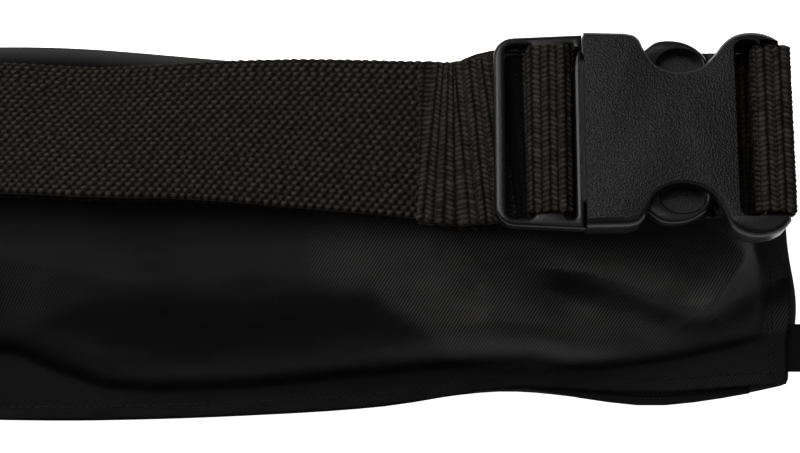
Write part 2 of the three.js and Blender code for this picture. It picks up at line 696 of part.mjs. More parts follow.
// The housing: a flat box open at its mouth, waisted where the prongs are pressed, with the belt's bar.
function femaleHalf() {
  const half = FRAME_WIDTH / 2;
  const waist = HOUSING_WAIST / 2;
  const end = HOUSING_LENGTH;
  const shape = new THREE.Shape();
  const start = FIT;
  shape.moveTo(start, -half);
  const inward = half - waist;
  const waistEnd = end - EAR_LENGTH;
  const side = (s) => [
    [HOUSING_BOX, s * half],
    [HOUSING_BOX + 0.2 * WAIST_FLARE, s * (waist + 0.4 * inward)],
    [HOUSING_BOX + 0.5 * WAIST_FLARE, s * (waist + 0.05 * inward)],
    [HOUSING_BOX + WAIST_FLARE, s * waist],
    [waistEnd - 0.4 * EAR_FLARE, s * (waist + 0.17 * inward)],
    [waistEnd - 0.1 * EAR_FLARE, s * (half - 0.34 * inward)],
    [waistEnd + 0.2 * EAR_FLARE, s * (half - 0.07 * inward)],
    [waistEnd + 0.6 * EAR_FLARE, s * (half + 0.03 * inward)],
    [end - EAR_CORNER, s * (half - 0.05 * inward)],
    [end, s * (half - EAR_CORNER)],
  ];
  const below = side(-1);
  const above = side(1).reverse();
  shape.lineTo(below[0][0] - SLOT_CORNER, below[0][1]);
  shape.splineThru(below.slice(1).map(([x, y]) => new THREE.Vector2(x, y)));
  shape.lineTo(above[0][0], above[0][1]);
  shape.splineThru(above.slice(1, -1).map(([x, y]) => new THREE.Vector2(x, y)));
  shape.lineTo(HOUSING_BOX - SLOT_CORNER, half);
  shape.lineTo(start, half);
  shape.closePath();
  let solid = solidOf(plate(shape, HOUSING_THICK, HOUSING_EDGE, 2));
  const cavityHeight = FRAME_THICK + 2 * FIT;
  const box = (x0, x1, width, z0, z1) =>
    solidOf(new THREE.BoxGeometry(x1 - x0, width, z1 - z0).translate((x0 + x1) / 2, 0, (z0 + z1) / 2));
  solid = solid.subtract(box(-FIT, HOUSING_BOX, CAVITY_WIDTH, -cavityHeight / 2, cavityHeight / 2));
  solid = solid.subtract(box(HOUSING_BOX - FIT, socketLength, 2 * half, -cavityHeight / 2, cavityHeight / 2));
  const barRight = strapBarRight - BUCKLE_X;
  const barLeft = barRight - STRAP_BAR;
  solid = solid.subtract(box(strapSlotFrom, barLeft, SLOT_WIDTH, -HOUSING_THICK, HOUSING_THICK));
  solid = solid.subtract(box(barLeft - FIT, end + FIT, SLOT_WIDTH, STRAP_BAR_THICK / 2, HOUSING_THICK));
  solid = solid.subtract(box(barLeft - FIT, end + FIT, SLOT_WIDTH, -HOUSING_THICK, -STRAP_BAR_THICK / 2));
  solid = solid.subtract(box(barRight, end + FIT, SLOT_WIDTH, -HOUSING_THICK, HOUSING_THICK));
  return geometryOf(solid);
}

function piece(name, geometry, look) {
  const mesh = new THREE.Mesh(geometry, new THREE.MeshStandardMaterial({ ...look, metalness: 0 }));
  mesh.name = name;
  return mesh;
}

const pack = new THREE.Group();
pack.add(piece('back_panel', backPanel(), COLOURS.twill));
pack.add(piece('front_panel', frontPanel(), COLOURS.cover));
pack.add(piece('packed_air_cell', packedAirCell(), COLOURS.cell));
pack.add(piece('zip_chain', zipChain(), COLOURS.zip));

const belt = beltStrands();
pack.add(piece('belt_rear_strand', belt.rear, COLOURS.webbing));
pack.add(piece('belt_near_strand', belt.near, COLOURS.webbing));

const tab = piece('end_tab', endTab(), COLOURS.webbing);
tab.rotation.x = Math.PI / 2;
tab.position.set(RIGHT_END_X, edgeY('bottom', 1) + TAB_FROM_EDGE + TAB_WIDTH, zipBase);
pack.add(tab);

const buckle = new THREE.Group();
buckle.add(piece('buckle_male', maleHalf(), COLOURS.plastic));
buckle.add(piece('buckle_female', femaleHalf(), COLOURS.plastic));
buckle.position.copy(beltPoint(BUCKLE_X, frameLevel));
buckle.rotation.x = -radians(BUCKLE_ROLL);
pack.add(buckle);

export default pack;
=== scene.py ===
# %% [markdown]
# # An inflatable belt pack, seen from its belt side
#
# The pack lies on its front cover. A wide woven belt runs over the pouch and closes in a
# side-release buckle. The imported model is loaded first, as a fixed frame in metres, and every
# piece below is set against it. The camera comes next, because the photograph gives some places
# on the pouch as pixels, and one helper turns those into millimetres on the pack.

import math

import bmesh
import bpy
import numpy as np
from mathutils import Matrix, Vector, geometry, noise
from mathutils.bvhtree import BVHTree


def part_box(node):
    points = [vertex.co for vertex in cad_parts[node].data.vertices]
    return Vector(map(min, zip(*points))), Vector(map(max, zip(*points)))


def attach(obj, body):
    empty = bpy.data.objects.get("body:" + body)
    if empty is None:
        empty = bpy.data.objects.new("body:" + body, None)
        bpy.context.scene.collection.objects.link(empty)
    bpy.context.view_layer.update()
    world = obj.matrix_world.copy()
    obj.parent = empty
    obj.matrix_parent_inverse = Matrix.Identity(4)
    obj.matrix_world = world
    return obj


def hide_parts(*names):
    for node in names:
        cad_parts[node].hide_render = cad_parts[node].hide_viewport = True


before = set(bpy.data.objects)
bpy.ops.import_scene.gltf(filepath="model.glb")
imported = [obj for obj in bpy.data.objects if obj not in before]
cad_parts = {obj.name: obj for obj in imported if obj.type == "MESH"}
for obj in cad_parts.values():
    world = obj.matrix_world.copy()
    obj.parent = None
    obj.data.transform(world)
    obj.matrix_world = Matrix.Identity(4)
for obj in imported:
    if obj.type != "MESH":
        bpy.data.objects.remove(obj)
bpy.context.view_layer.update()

MM = 0.001
IMAGE_SIZE = (800, 453)
CAMERA_TARGET = (0.0, 0.0, 60.0)
CAMERA_DISTANCE = 600.0
CAMERA_ELEVATION = math.radians(84)
CAMERA_LENS = 90.5
SENSOR_WIDTH = 36.0
# where the buckle's two halves meet: the photograph's pixel, and the height there in mm
PARTING_PIXEL = (585, 134)
PARTING_LEVEL = 76.0


def new_object(name, data):
    """A new object in the scene."""
    made = bpy.data.objects.new(name, data)
    bpy.context.collection.objects.link(made)
    return made


cam_data = bpy.data.cameras.new("camera")
cam_data.lens = CAMERA_LENS
cam_data.sensor_width = SENSOR_WIDTH
camera = new_object("camera", cam_data)
back_off = Vector((0, -math.cos(CAMERA_ELEVATION), math.sin(CAMERA_ELEVATION)))
camera.location = (Vector(CAMERA_TARGET) + back_off * CAMERA_DISTANCE) * MM
camera.rotation_euler = (math.pi / 2 - CAMERA_ELEVATION, 0, 0)
bpy.context.scene.camera = camera
bpy.context.scene.view_settings.view_transform = "Standard"
PIXELS_PER_UNIT = CAMERA_LENS / SENSOR_WIDTH * IMAGE_SIZE[0]


def photo_place(px, py, z):
    """The place (x, y) in mm of a photograph pixel, on the level plane at height z in mm."""
    right = (px - IMAGE_SIZE[0] / 2) / PIXELS_PER_UNIT
    up = (IMAGE_SIZE[1] / 2 - py) / PIXELS_PER_UNIT
    rise = z - CAMERA_TARGET[2]
    sin, cos = math.sin(CAMERA_ELEVATION), math.cos(CAMERA_ELEVATION)
    # depth = distance + y cos - rise sin, and up * depth = y sin + rise cos
    y = (up * (CAMERA_DISTANCE - rise * sin) - rise * cos) / (sin - up * cos)
    depth = CAMERA_DISTANCE + y * cos - rise * sin
    return right * depth, y


print("the buckle's parting line is at x =", round(photo_place(*PARTING_PIXEL, PARTING_LEVEL)[0], 1), "mm")

# %% [markdown]
# ## Helpers
#
# Most pieces here are woven sheets, so their shape is a grid of points. One helper makes a mesh
# from points in millimetres, another lists the grid's faces and can close it into a loop, and a
# third reads heights off the frame's own solids by shooting a ray at them. That keeps the cloth
# where the solids are.

# %% Mesh helpers


def mesh_piece(name, points, faces, smooth=True):
    """A new mesh object from points in mm, with its faces smooth or flat."""
    mesh = bpy.data.meshes.new(name)
    mesh.from_pydata([tuple(c * MM for c in p) for p in points], [], faces)
    mesh.update()
    mesh.polygons.foreach_set("use_smooth", [smooth] * len(mesh.polygons))
    return new_object(name, mesh)


def grid_faces(rows, columns, wrap=False):
    """Quads between neighbouring points of a grid, row by row. wrap joins the last column to the first."""
    faces = []
    span = columns if wrap else columns - 1
    for i in range(rows - 1):
        for j in range(span):
            k = (j + 1) % columns
            faces.append((i * columns + j, i * columns + k, (i + 1) * columns + k, (i + 1) * columns + j))
    return faces


def outward(piece):
    """Merges doubles and turns every face outwards."""
    work = bmesh.new()
    work.from_mesh(piece.data)
    bmesh.ops.remove_doubles(work, verts=work.verts, dist=1e-7)
    bmesh.ops.recalc_face_normals(work, faces=work.faces)
    work.to_mesh(piece.data)
    work.free()
    return piece


def shown_mesh(piece):
    """What the modifiers show, as a plain mesh."""
    bpy.context.view_layer.update()
    shown = piece.evaluated_get(bpy.context.evaluated_depsgraph_get())
    return bpy.data.meshes.new_from_object(shown)


def apply_modifiers(piece):
    """Makes what the modifiers show the piece's own mesh."""
    mesh = shown_mesh(piece)
    piece.modifiers.clear()
    piece.data = mesh


def dress(piece, finish):
    """Leaves one finish on a piece."""
    piece.data.materials.clear()
    piece.data.materials.append(finish)


def node_box(name):
    """A frame node's lowest and highest corner in mm."""
    return [Vector(corner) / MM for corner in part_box(name)]


def face_tree(piece):
    """A search tree over a piece's faces, for rays."""
    corners = [v.co.copy() for v in piece.data.vertices]
    return BVHTree.FromPolygons(corners, [tuple(p.vertices) for p in piece.data.polygons])


def ray_height(tree, x, y, start, down=True):
    """Height in mm where a ray from height start meets the tree's faces, or None."""
    way = Vector((0, 0, -1 if down else 1))
    hit = tree.ray_cast(Vector((x, y, start)) * MM, way)
    return None if hit[0] is None else hit[0].z / MM


def ease(low, high, value):
    """0 below low, 1 above high, and a soft step between."""
    share = np.clip((value - low) / (high - low), 0, 1)
    return share * share * (3 - 2 * share)


print("the frame has", len(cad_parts), "nodes")

# %% [markdown]
# ## Materials
#
# Each finish is built from nodes. The webbing reads an attribute that the mesh carries, so its
# painted shade in the gaps and painted light on the knots follow the yarns. The twill is a fine
# slanted wave on the pouch's own coordinates, and another attribute carries painted light and
# shade. The buckle's stipple is a small noise bump on its flat faces only, which leaves the edges
# glossier.

# %% Material helpers


def new_material(name, color, roughness, specular=0.5):
    """A material with one Principled shader."""
    material = bpy.data.materials.new(name)
    material.use_nodes = True
    shader = material.node_tree.nodes["Principled BSDF"]
    shader.inputs["Base Color"].default_value = (*color, 1)
    shader.inputs["Roughness"].default_value = roughness
    shader.inputs["Specular IOR Level"].default_value = specular
    return material, shader


def link(material, source, target):
    """Joins one node's output to another's input."""
    material.node_tree.links.new(source, target)


def node(material, kind, inputs=None, **settings):
    """A new node in the material. An input is linked where its value is another node's output."""
    made = material.node_tree.nodes.new(kind)
    for key, value in settings.items():
        setattr(made, key, value)
    for key, value in (inputs or {}).items():
        if isinstance(value, bpy.types.NodeSocket):
            link(material, value, made.inputs[key])
        else:
            made.inputs[key].default_value = value
    return made


def maths(material, operation, *values, **settings):
    """The result of one sum on numbers and outputs."""
    inputs = dict(enumerate(values))
    return node(material, "ShaderNodeMath", inputs, operation=operation, **settings).outputs[0]


def attribute(material, name):
    """A number that the mesh carries at its points."""
    return node(material, "ShaderNodeAttribute", attribute_name=name).outputs["Fac"]


def grain(material, scale, detail):
    """Noise on object coordinates. scale is in features per metre."""
    place = node(material, "ShaderNodeTexCoord").outputs["Object"]
    sizes = {"Vector": place, "Scale": scale, "Detail": detail}
    return node(material, "ShaderNodeTexNoise", sizes).outputs["Fac"]


def bands(material, direction, scale, distortion, turn=0):
    """Fine waves on object coordinates, turned by an angle in degrees."""
    place = node(material, "ShaderNodeTexCoord").outputs["Object"]
    if turn:
        turned = {"Vector": place, "Rotation": (0, 0, math.radians(turn))}
        place = node(material, "ShaderNodeMapping", turned).outputs["Vector"]
    sizes = {"Vector": place, "Scale": scale, "Distortion": distortion}
    wave = node(material, "ShaderNodeTexWave", sizes, wave_type="BANDS", bands_direction=direction)
    return wave.outputs["Fac"]


def color_between(material, shader, factor, dark, light):
    """Base colour that runs from dark to light by a factor."""
    ramp = node(material, "ShaderNodeValToRGB", {"Fac": factor})
    ramp.color_ramp.elements[0].color = (*dark, 1)
    ramp.color_ramp.elements[1].color = (*light, 1)
    link(material, ramp.outputs["Color"], shader.inputs["Base Color"])
    return ramp


def add_bump(material, shader, height, depth, strength):
    """Bump from a height of 0 to 1, depth in metres."""
    sizes = {"Distance": depth, "Strength": strength, "Height": height}
    bump = node(material, "ShaderNodeBump", sizes)
    link(material, bump.outputs["Normal"], shader.inputs["Normal"])


def grained(name, color, roughness, specular, scale, detail, depth, strength):
    """A plain finish with a fine grain."""
    material, shader = new_material(name, color, roughness, specular)
    add_bump(material, shader, grain(material, scale, detail), depth, strength)
    return material


# %% Webbing, thread and tape


def webbing_finish():
    """Brown-black yarn, with painted shade where the weave is low and painted light on its high knots, fine
    fuzz and slanted fibres.
    """
    material, shader = new_material("woven_webbing", (0.01, 0.0086, 0.0075), 0.75, 0.03)
    yarn = attribute(material, "yarn")
    blend = maths(material, "MULTIPLY_ADD", grain(material, 2200, 3), 0.5, yarn)
    shift = maths(material, "SUBTRACT", blend, 0.42, use_clamp=True)
    color_between(material, shader, shift, (0.0003, 0.0002, 0.0002), (0.026, 0.0218, 0.0188))
    add_bump(material, shader, bands(material, "DIAGONAL", 900, 6), 0.00006, 0.5)
    return material


def tape_finish():
    """Black woven tape with a fine rib."""
    material, shader = new_material("woven_tape", (0.0018, 0.0017, 0.0017), 0.8, 0.05)
    add_bump(material, shader, bands(material, "Y", 420, 1.5), 0.00012, 0.8)
    return material


WEBBING = webbing_finish()
THREAD = grained("black_thread", (0.0025, 0.0023, 0.0022), 0.6, 0.08, 3000, 1, 0.00004, 0.5)
TAPE = tape_finish()

# %% Twill, cover cloth, zip and plastic


def twill_finish():
    """Near-black nylon twill: a slanted fine rib in faint patches, lighter or darker by the painted light and
    shade that the mesh carries.
    """
    material, shader = new_material("pouch_twill", (0.006, 0.0057, 0.0057), 0.65, 0.035)
    rib = bands(material, "X", 370, 0.6, turn=32)
    add_bump(material, shader, rib, 0.00012, 0.5)
    patched = maths(material, "MULTIPLY", grain(material, 28, 4), rib)
    # painted light and shade, carried by the mesh, scale the cloth's colour
    shown = maths(material, "MULTIPLY", patched, attribute(material, "painted_shading"))
    dark, light = (0.0008, 0.0008, 0.0008), (0.0175, 0.0166, 0.0163)
    ramp = color_between(material, shader, shown, dark, light)
    ramp.color_ramp.elements[0].position = 0.06
    ramp.color_ramp.elements[1].position = 0.75
    return material


def plastic_finish():
    """Moulded buckle plastic: stippled and dull where the mesh says 1, smooth and glossier at 0."""
    material, shader = new_material("buckle_plastic", (0.0022, 0.0021, 0.0021), 0.4, 0.1)
    face = attribute(material, "stipple")
    height = maths(material, "MULTIPLY", grain(material, 1900, 1), face)
    add_bump(material, shader, height, 0.0004, 1.0)
    for socket, smooth, stippled in (("Roughness", 0.3, 0.5), ("Specular IOR Level", 0.13, 0.1)):
        span = {"Value": face, "To Min": smooth, "To Max": stippled}
        shown = node(material, "ShaderNodeMapRange", span).outputs["Result"]
        link(material, shown, shader.inputs[socket])
    return material


TWILL = twill_finish()
COVER = grained("coated_cover", (0.0125, 0.012, 0.0119), 0.7, 0.08, 900, 2, 0.00008, 0.4)
COIL = grained("zip_coil", (0.004, 0.004, 0.0042), 0.36, 0.2, 600, 2, 0.00003, 0.4)
PLASTIC = plastic_finish()
print("materials:", [m.name for m in (WEBBING, THREAD, TAPE, TWILL, COVER, COIL, PLASTIC)])

# %% [markdown]
# ## The belt's route
#
# The belt is one long ribbon. It starts in a sewn loop round the housing's bar, passes under the
# buckle, runs left on the pouch, folds over and comes back, climbs through the adjuster, goes over
# its middle bar and ends in a hemmed tail. A real maker would draw that side view, so the route is
# a short list of corners with round bends, in the plane of x and a height above the near strand.
# The strand's height over the pouch is read from the frame's own belt by rays from below.

# %% Route corners
# sizes in mm, the webbing's, the pouch's and the buckle's
WEB_WIDTH = 50.8
WEB_THICK = 2.0
GAP = 0.35
WAIST_GAP = 7.0
POUCH_HEIGHT = 115.0
FRAME_THICK = 6.0
FRAME_LENGTH = 26.0
FRAME_BAR = 3.5
OUTER_SLOT = 8.5
MIDDLE_BAR = 8.7
STRAP_BAR = 7.0
STRAP_BAR_THICK = 5.0
HOUSING_THICK = 13.6
HEM_LENGTH = 14.0
TAIL_LENGTH = 21.0
LAP_LENGTH = 24.0
BUCKLE_ROLL = 7.0

pouch_low, pouch_high = node_box("back_panel")
pouch_length = pouch_high.x - pouch_low.x

layer = WEB_THICK + GAP
rear_level = -(WEB_THICK + WAIST_GAP)
tail_level = 2 * layer
frame_level = tail_level + WEB_THICK / 2 + GAP + FRAME_THICK / 2
lap_level = frame_level - HOUSING_THICK / 2 - GAP - WEB_THICK / 2
rear_right_level = lap_level - layer
frame_left = node_box("buckle_male")[0].x
parting_x = frame_left + FRAME_LENGTH
middle_left = frame_left + FRAME_BAR + OUTER_SLOT
middle_right = middle_left + MIDDLE_BAR
strap_bar_right = node_box("buckle_female")[1].x
strap_bar_left = strap_bar_right - STRAP_BAR
beside = GAP + WEB_THICK / 2
left_fold = node_box("belt_rear_strand")[0].x + WEB_THICK / 2
tail_end = frame_left - TAIL_LENGTH
over_frame = frame_level + FRAME_THICK / 2 + beside
over_strap_bar = frame_level + STRAP_BAR_THICK / 2 + beside
# x, level, radius of the bend there
ROUTE = [
    (strap_bar_left - beside - LAP_LENGTH, lap_level, 0),
    (strap_bar_left - beside, lap_level, 2.7),
    (strap_bar_left - beside, over_strap_bar, 1.35),
    (strap_bar_right + beside, over_strap_bar, 1.35),
    (strap_bar_right + beside, rear_right_level, 4.05),
    (parting_x, rear_right_level, 30),
    (frame_left, rear_level, 30),
    (left_fold, rear_level, -rear_level / 2),
    (left_fold, 0, -rear_level / 2),
    (frame_left - 2 * layer, 0, 8),
    (frame_left, layer, 8),
    (middle_right + beside, layer, 2.7),
    (middle_right + beside, over_frame, 2.7),
    (middle_left - beside, over_frame, 2.7),
    (middle_left - beside, tail_level, 1.35),
    (tail_end, tail_level, layer / 2),
    (tail_end, layer, layer / 2),
    (tail_end + HEM_LENGTH, layer, 0),
]
# the corners that later cells ask for, by their number in the route
UNDER_BUCKLE = 5
FAR_FOLD = 8
AT_FRAME = 10
OVER_MIDDLE_BAR = 13
TAIL_FOLD = 15


def rounded_route(corners, step):
    """The route as points, and the length along it at each corner's bend."""
    path = [np.array(corners[0][:2], float)]
    marks = [0.0]

    def length():
        return sum(np.linalg.norm(b - a) for a, b in zip(path, path[1:]))

    for i in range(1, len(corners) - 1):
        here = np.array(corners[i][:2], float)
        back = np.array(corners[i - 1][:2], float) - here
        ahead = np.array(corners[i + 1][:2], float) - here
        back /= np.linalg.norm(back)
        ahead /= np.linalg.norm(ahead)
        turn = math.pi - math.acos(float(np.clip(back @ ahead, -1, 1)))
        radius = corners[i][2]
        start = here + back * radius * math.tan(turn / 2)
        middle = back + ahead
        middle = here + middle / np.linalg.norm(middle) * radius / math.cos(turn / 2)
        path.append(start)
        marks.append(length())
        first = math.atan2(*(start - middle)[::-1])
        way = -1 if back[0] * ahead[1] - back[1] * ahead[0] > 0 else 1
        steps = max(2, math.ceil(turn * radius / step))
        for k in range(1, steps + 1):
            angle = first + way * turn * k / steps
            path.append(middle + radius * np.array((math.cos(angle), math.sin(angle))))
    path.append(np.array(corners[-1][:2], float))
    marks.append(length())
    return np.array(path), marks


route_points, route_marks = rounded_route(ROUTE, 0.4)
print("belt length", round(route_marks[-1]), "mm")

# %% How the belt lies on the pouch
# share of the pouch's length, roll in degrees, share of its height to the webbing's middle
BELT_LIE = [
    (0.0, 18, 0.252),
    (0.16, 27, 0.262),
    (0.29, 31.5, 0.2615),
    (0.37, 32, 0.252),
    (0.47, 26.6, 0.2555),
    (0.55, 20.4, 0.247),
    (0.64, 15.6, 0.2295),
    (0.69, 11, 0.218),
]
BELT_MIDDLE = 0.215
# beyond the pouch the belt lies flat on the floor within this reach
FLOOR_REACH = 50.0
# heights that rays start from
UNDER_ALL = -5.0
OVER_ALL = 200.0


def follow(rows, column, place):
    """A smooth curve through a table's rows, by their first column."""
    xs = [row[0] for row in rows]
    ys = [row[column] for row in rows]
    place = min(max(place, xs[0]), xs[-1])
    i = max(k for k in range(len(xs) - 1) if xs[k] <= place or k == 0)

    def slope(k):
        a, b = max(k - 1, 0), min(k + 1, len(xs) - 1)
        return (ys[b] - ys[a]) / (xs[b] - xs[a])

    step = xs[i + 1] - xs[i]
    t = (place - xs[i]) / step
    bend = t * (1 - t) * ((1 - t) * slope(i) - t * slope(i + 1)) * step
    return ys[i] + (ys[i + 1] - ys[i]) * t * t * (3 - 2 * t) + bend


def belt_roll(x):
    """How far the belt is turned about its length, in radians."""
    share = (x - pouch_low.x) / pouch_length
    inside = follow(BELT_LIE, 1, share) * ease(pouch_low.x - FLOOR_REACH, pouch_low.x, x)
    near_frame = ease(frame_left - TAIL_LENGTH / 2, frame_left, x)
    return math.radians(inside + (BUCKLE_ROLL - inside) * near_frame)


def belt_middle(x):
    """The y of the near strand's middle line."""
    share = (x - pouch_low.x) / pouch_length
    near_frame = ease(frame_left - TAIL_LENGTH, frame_left, x)
    middle = follow(BELT_LIE, 2, share)
    return POUCH_HEIGHT * (middle + (BELT_MIDDLE - middle) * near_frame)


belt_tree = face_tree(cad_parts["belt_rear_strand"])


def measured_height(x):
    """Height of the near strand's middle, from where the rear strand's lower face is."""
    roll = belt_roll(x)
    low = ray_height(belt_tree, x, belt_middle(x), UNDER_ALL, down=False)
    return low + (WEB_THICK / 2 - rear_level) / math.cos(roll)


height_xs = np.linspace(left_fold + 6, frame_left - 0.5, 90)
height_zs = np.array([measured_height(x) for x in height_xs])
height_zs[1:-1] = (height_zs[:-2] + 2 * height_zs[1:-1] + height_zs[2:]) / 4


def belt_height(x):
    """Height of the near strand's middle line over the floor."""
    return float(np.interp(x, height_xs, height_zs))


print("near strand height, left to right:", [round(belt_height(x)) for x in (-280, -150, -50, 20)])

# %% [markdown]
# ## The webbing
#
# Real webbing is thick yarns woven in a staggered pattern, so its face is rows of small knots with
# dark gaps between, and its edges are scalloped. A flat strip with a picture of a weave would look
# printed. Here the ribbon's section is a closed loop of points, swept along the route, and every
# point is pushed out by a height that draws the knots. The other face of such webbing shows
# upright ribs of slanted yarn, which the photograph has on the turned-over tail and on the bars.

# %% Weave heights
# the near face: height of a row of knots, and length of a knot
ROW = 1.7
FLOAT = 2.65
# the other face: width of an upright rib, and height of a slanted stroke in it
RIB = 2.3
STROKE = 1.5
KNOT_HEIGHT = 0.5


def scatter(a, b):
    """A fixed random number from 0 to 1 for each pair of whole numbers."""
    mixed = np.sin(a * 12.9898 + b * 78.233) * 43758.5453
    return mixed - np.floor(mixed)


def frayed(along, across):
    """0.7 to 1: loose fibres, a fixed random share for each small patch."""
    return 0.7 + 0.3 * scatter(np.round(along / 0.4), np.round(across / 0.42))


def knot_height(along, across):
    """0 to 1: staggered hooks, each a slanted raised yarn with a low gap under its right end; as colour,
    painted light on the yarn and painted shade in the gap.
    """
    row = np.floor(across / ROW)
    rise = across / ROW - row
    run = along / FLOAT + 0.5 * (row % 2) + 0.16 * scatter(row, 3) - 0.12 * (rise - 0.5)
    knot = np.floor(run)
    chance = scatter(row, knot)
    run = run - knot + 0.14 * (chance - 0.5)
    hook = np.exp(-(((run - 0.38) / 0.32) ** 2) - ((rise - 0.55 - 0.25 * (run - 0.38)) / 0.28) ** 2)
    gap = np.exp(-(((run - 0.86) / 0.2) ** 2) - ((rise - 0.42) / 0.34) ** 2)
    gap = gap + np.exp(-(((run + 0.14) / 0.2) ** 2) - ((rise - 0.42) / 0.34) ** 2)
    height = 0.3 + (0.4 + 0.45 * chance) * hook - 0.45 * gap
    return np.clip(height, 0, 1) * frayed(along, across)


def rib_height(along, across):
    """0 to 1: upright ribs of slanted strokes, leaning left and right in turn."""
    rib = np.floor(along / RIB)
    run = along / RIB - rib
    lean = np.where(rib % 2 == 0, 1, -1) * (run - 0.5) * 0.6
    rise = across / STROKE + lean + scatter(rib, 5) + 0.3 * scatter(rib, np.floor(across / 3.1))
    stroke = np.floor(rise)
    rise = rise - stroke
    chance = scatter(rib, stroke)
    yarn = np.exp(-(((rise - 0.5) / (0.22 + 0.1 * chance)) ** 2))
    height = (0.16 + 0.84 * np.sin(np.pi * run)) * (0.34 + (0.35 + 0.45 * chance) * yarn)
    beads = 0.55 + 0.35 * np.cos(2 * np.pi * across / STROKE + rib)
    spine = np.exp(-(((run - 0.95) / 0.11) ** 2)) * (rib % 2 == 0) * beads
    return np.clip(np.maximum(height, spine), 0, 1) * frayed(along, across)


# %% The ribbon as a swept loop
EDGE_POINTS = 4
# how far the tail's end, the webbing at the buckle and the stretches under it lie off the middle
TAIL_SKEW = -2.4
BUCKLE_SHIFT = 0.9
UNDER_HOUSING_SHIFT = 1.3
UNDER_FRAME_SHIFT = 2.2


def side_shift(place, x, level, roll):
    """How far the ribbon lies off its middle line towards the upper edge, in mm."""
    if place > route_marks[OVER_MIDDLE_BAR]:
        reach = 1 - ease(tail_end, middle_left, x)
        buckle = TAIL_SKEW * reach + BUCKLE_SHIFT * (1 - reach)
    else:
        low = UNDER_FRAME_SHIFT if x < parting_x else UNDER_HOUSING_SHIFT
        low = low * (1 - ease(lap_level, frame_level, level))
        buckle = (BUCKLE_SHIFT + low) * ease(frame_left - 1, frame_left + 4, x)
    # the rear strand stays hidden straight behind the near one
    behind = -min(level, 0) * math.tan(roll) * (1 - ease(frame_left - 30, frame_left, x))
    return buckle + behind


def route_frames(start, end, step):
    """Middle, across and up of the ribbon at even steps along the route, in mm."""
    lengths = np.concatenate(([0], np.cumsum(np.linalg.norm(np.diff(route_points, axis=0), axis=1))))
    count = max(2, round((end - start) / step))
    places = np.linspace(start, end, count + 1)
    probe = np.concatenate(([places[0] - 0.1], places, [places[-1] + 0.1]))
    xs = np.interp(probe, lengths, route_points[:, 0])
    levels = np.interp(probe, lengths, route_points[:, 1])
    middles = []
    for place, x, level in zip(probe, xs, levels):
        roll = belt_roll(x)
        up = np.array((0, math.sin(roll), math.cos(roll)))
        middle = np.array((x, belt_middle(x), belt_height(x))) + up * level
        middle += np.array((0, math.cos(roll), -math.sin(roll))) * side_shift(place, x, level, roll)
        middles.append(middle)
    middles = np.array(middles)
    along = middles[2:] - middles[:-2]
    along[0] = middles[2] - middles[1]
    along[-1] = middles[-2] - middles[-3]
    along /= np.linalg.norm(along, axis=1, keepdims=True)
    across = np.array([(0, math.cos(belt_roll(x)), -math.sin(belt_roll(x))) for x in xs[1:-1]])
    across -= along * np.sum(along * across, axis=1, keepdims=True)
    across /= np.linalg.norm(across, axis=1, keepdims=True)
    return places, middles[1:-1], across, np.cross(along, across)


def ribbon(name, start, end, step, across_step, up_face, down_face):
    """A closed stretch of webbing. up_face and down_face give each face's weave, and None is plain."""
    places, middles, across, up = route_frames(start, end, step)
    count = round(WEB_WIDTH / across_step)
    flat = np.linspace(-0.5, 0.5, count + 1) * (WEB_WIDTH - WEB_THICK)
    turn = np.linspace(-math.pi / 2, math.pi / 2, EDGE_POINTS + 2)[1:-1]
    half = WEB_THICK / 2 - KNOT_HEIGHT / 2
    side = (WEB_WIDTH - WEB_THICK) / 2
    below = flat[::8] if down_face is None else flat
    # the loop: lower face left to right, right edge, upper face right to left, left edge
    push_side = np.concatenate((below * 0, np.cos(turn), flat * 0, -np.cos(turn)))
    push_up = np.concatenate((below * 0 - 1, np.sin(turn), flat * 0 + 1, -np.sin(turn)))
    sides = np.concatenate((below, turn * 0 + side, flat[::-1], turn * 0 - side)) + half * push_side
    heights = half * push_up
    across_place = sides + WEB_WIDTH / 2
    s, w = np.meshgrid(places, across_place, indexing="ij")
    lower = 0.5 if down_face is None else down_face(s, w)
    relief = np.where(push_up[None, :] >= 0, up_face(s, w), lower)
    out = KNOT_HEIGHT * relief
    offset_side = (sides[None, :] + push_side[None, :] * out)[..., None]
    offset_up = (heights[None, :] + push_up[None, :] * out)[..., None]
    points = middles[:, None] + across[:, None] * offset_side + up[:, None] * offset_up
    rows, columns = relief.shape
    faces = grid_faces(rows, columns, wrap=True)
    faces.append(tuple(range(columns)))
    faces.append(tuple(range((rows - 1) * columns, rows * columns))[::-1])
    piece = mesh_piece(name, points.reshape(-1, 3), faces)
    # painted shade on the ribbon where it dives through the adjuster's open slot
    slot_shade = ease(frame_left + 2, frame_left + 5, middles[:, 0]) * (middles[:, 0] < middle_left - 1.9)
    shown = relief * (1 - 0.75 * slot_shade[:, None])
    # the yarn attribute is the weave's height, which the finish turns into painted shade in the gaps and
    # painted light on the knots, with the slot's painted shade laid on it
    yarn = piece.data.attributes.new("yarn", "FLOAT", "POINT")
    yarn.data.foreach_set("value", shown.reshape(-1).astype(np.float32))
    piece.data.materials.append(WEBBING)
    return piece


# %% The belt's stretches
FINE = FLOAT / 8
COARSE = FLOAT / 3
# the picture starts here, so what lies left of it has a coarser mesh
PICTURE_EDGE = -130.0
rear_start = route_marks[UNDER_BUCKLE]
near_start = route_marks[FAR_FOLD]
near_seen = near_start + PICTURE_EDGE - left_fold
near_end = route_marks[AT_FRAME] - 6
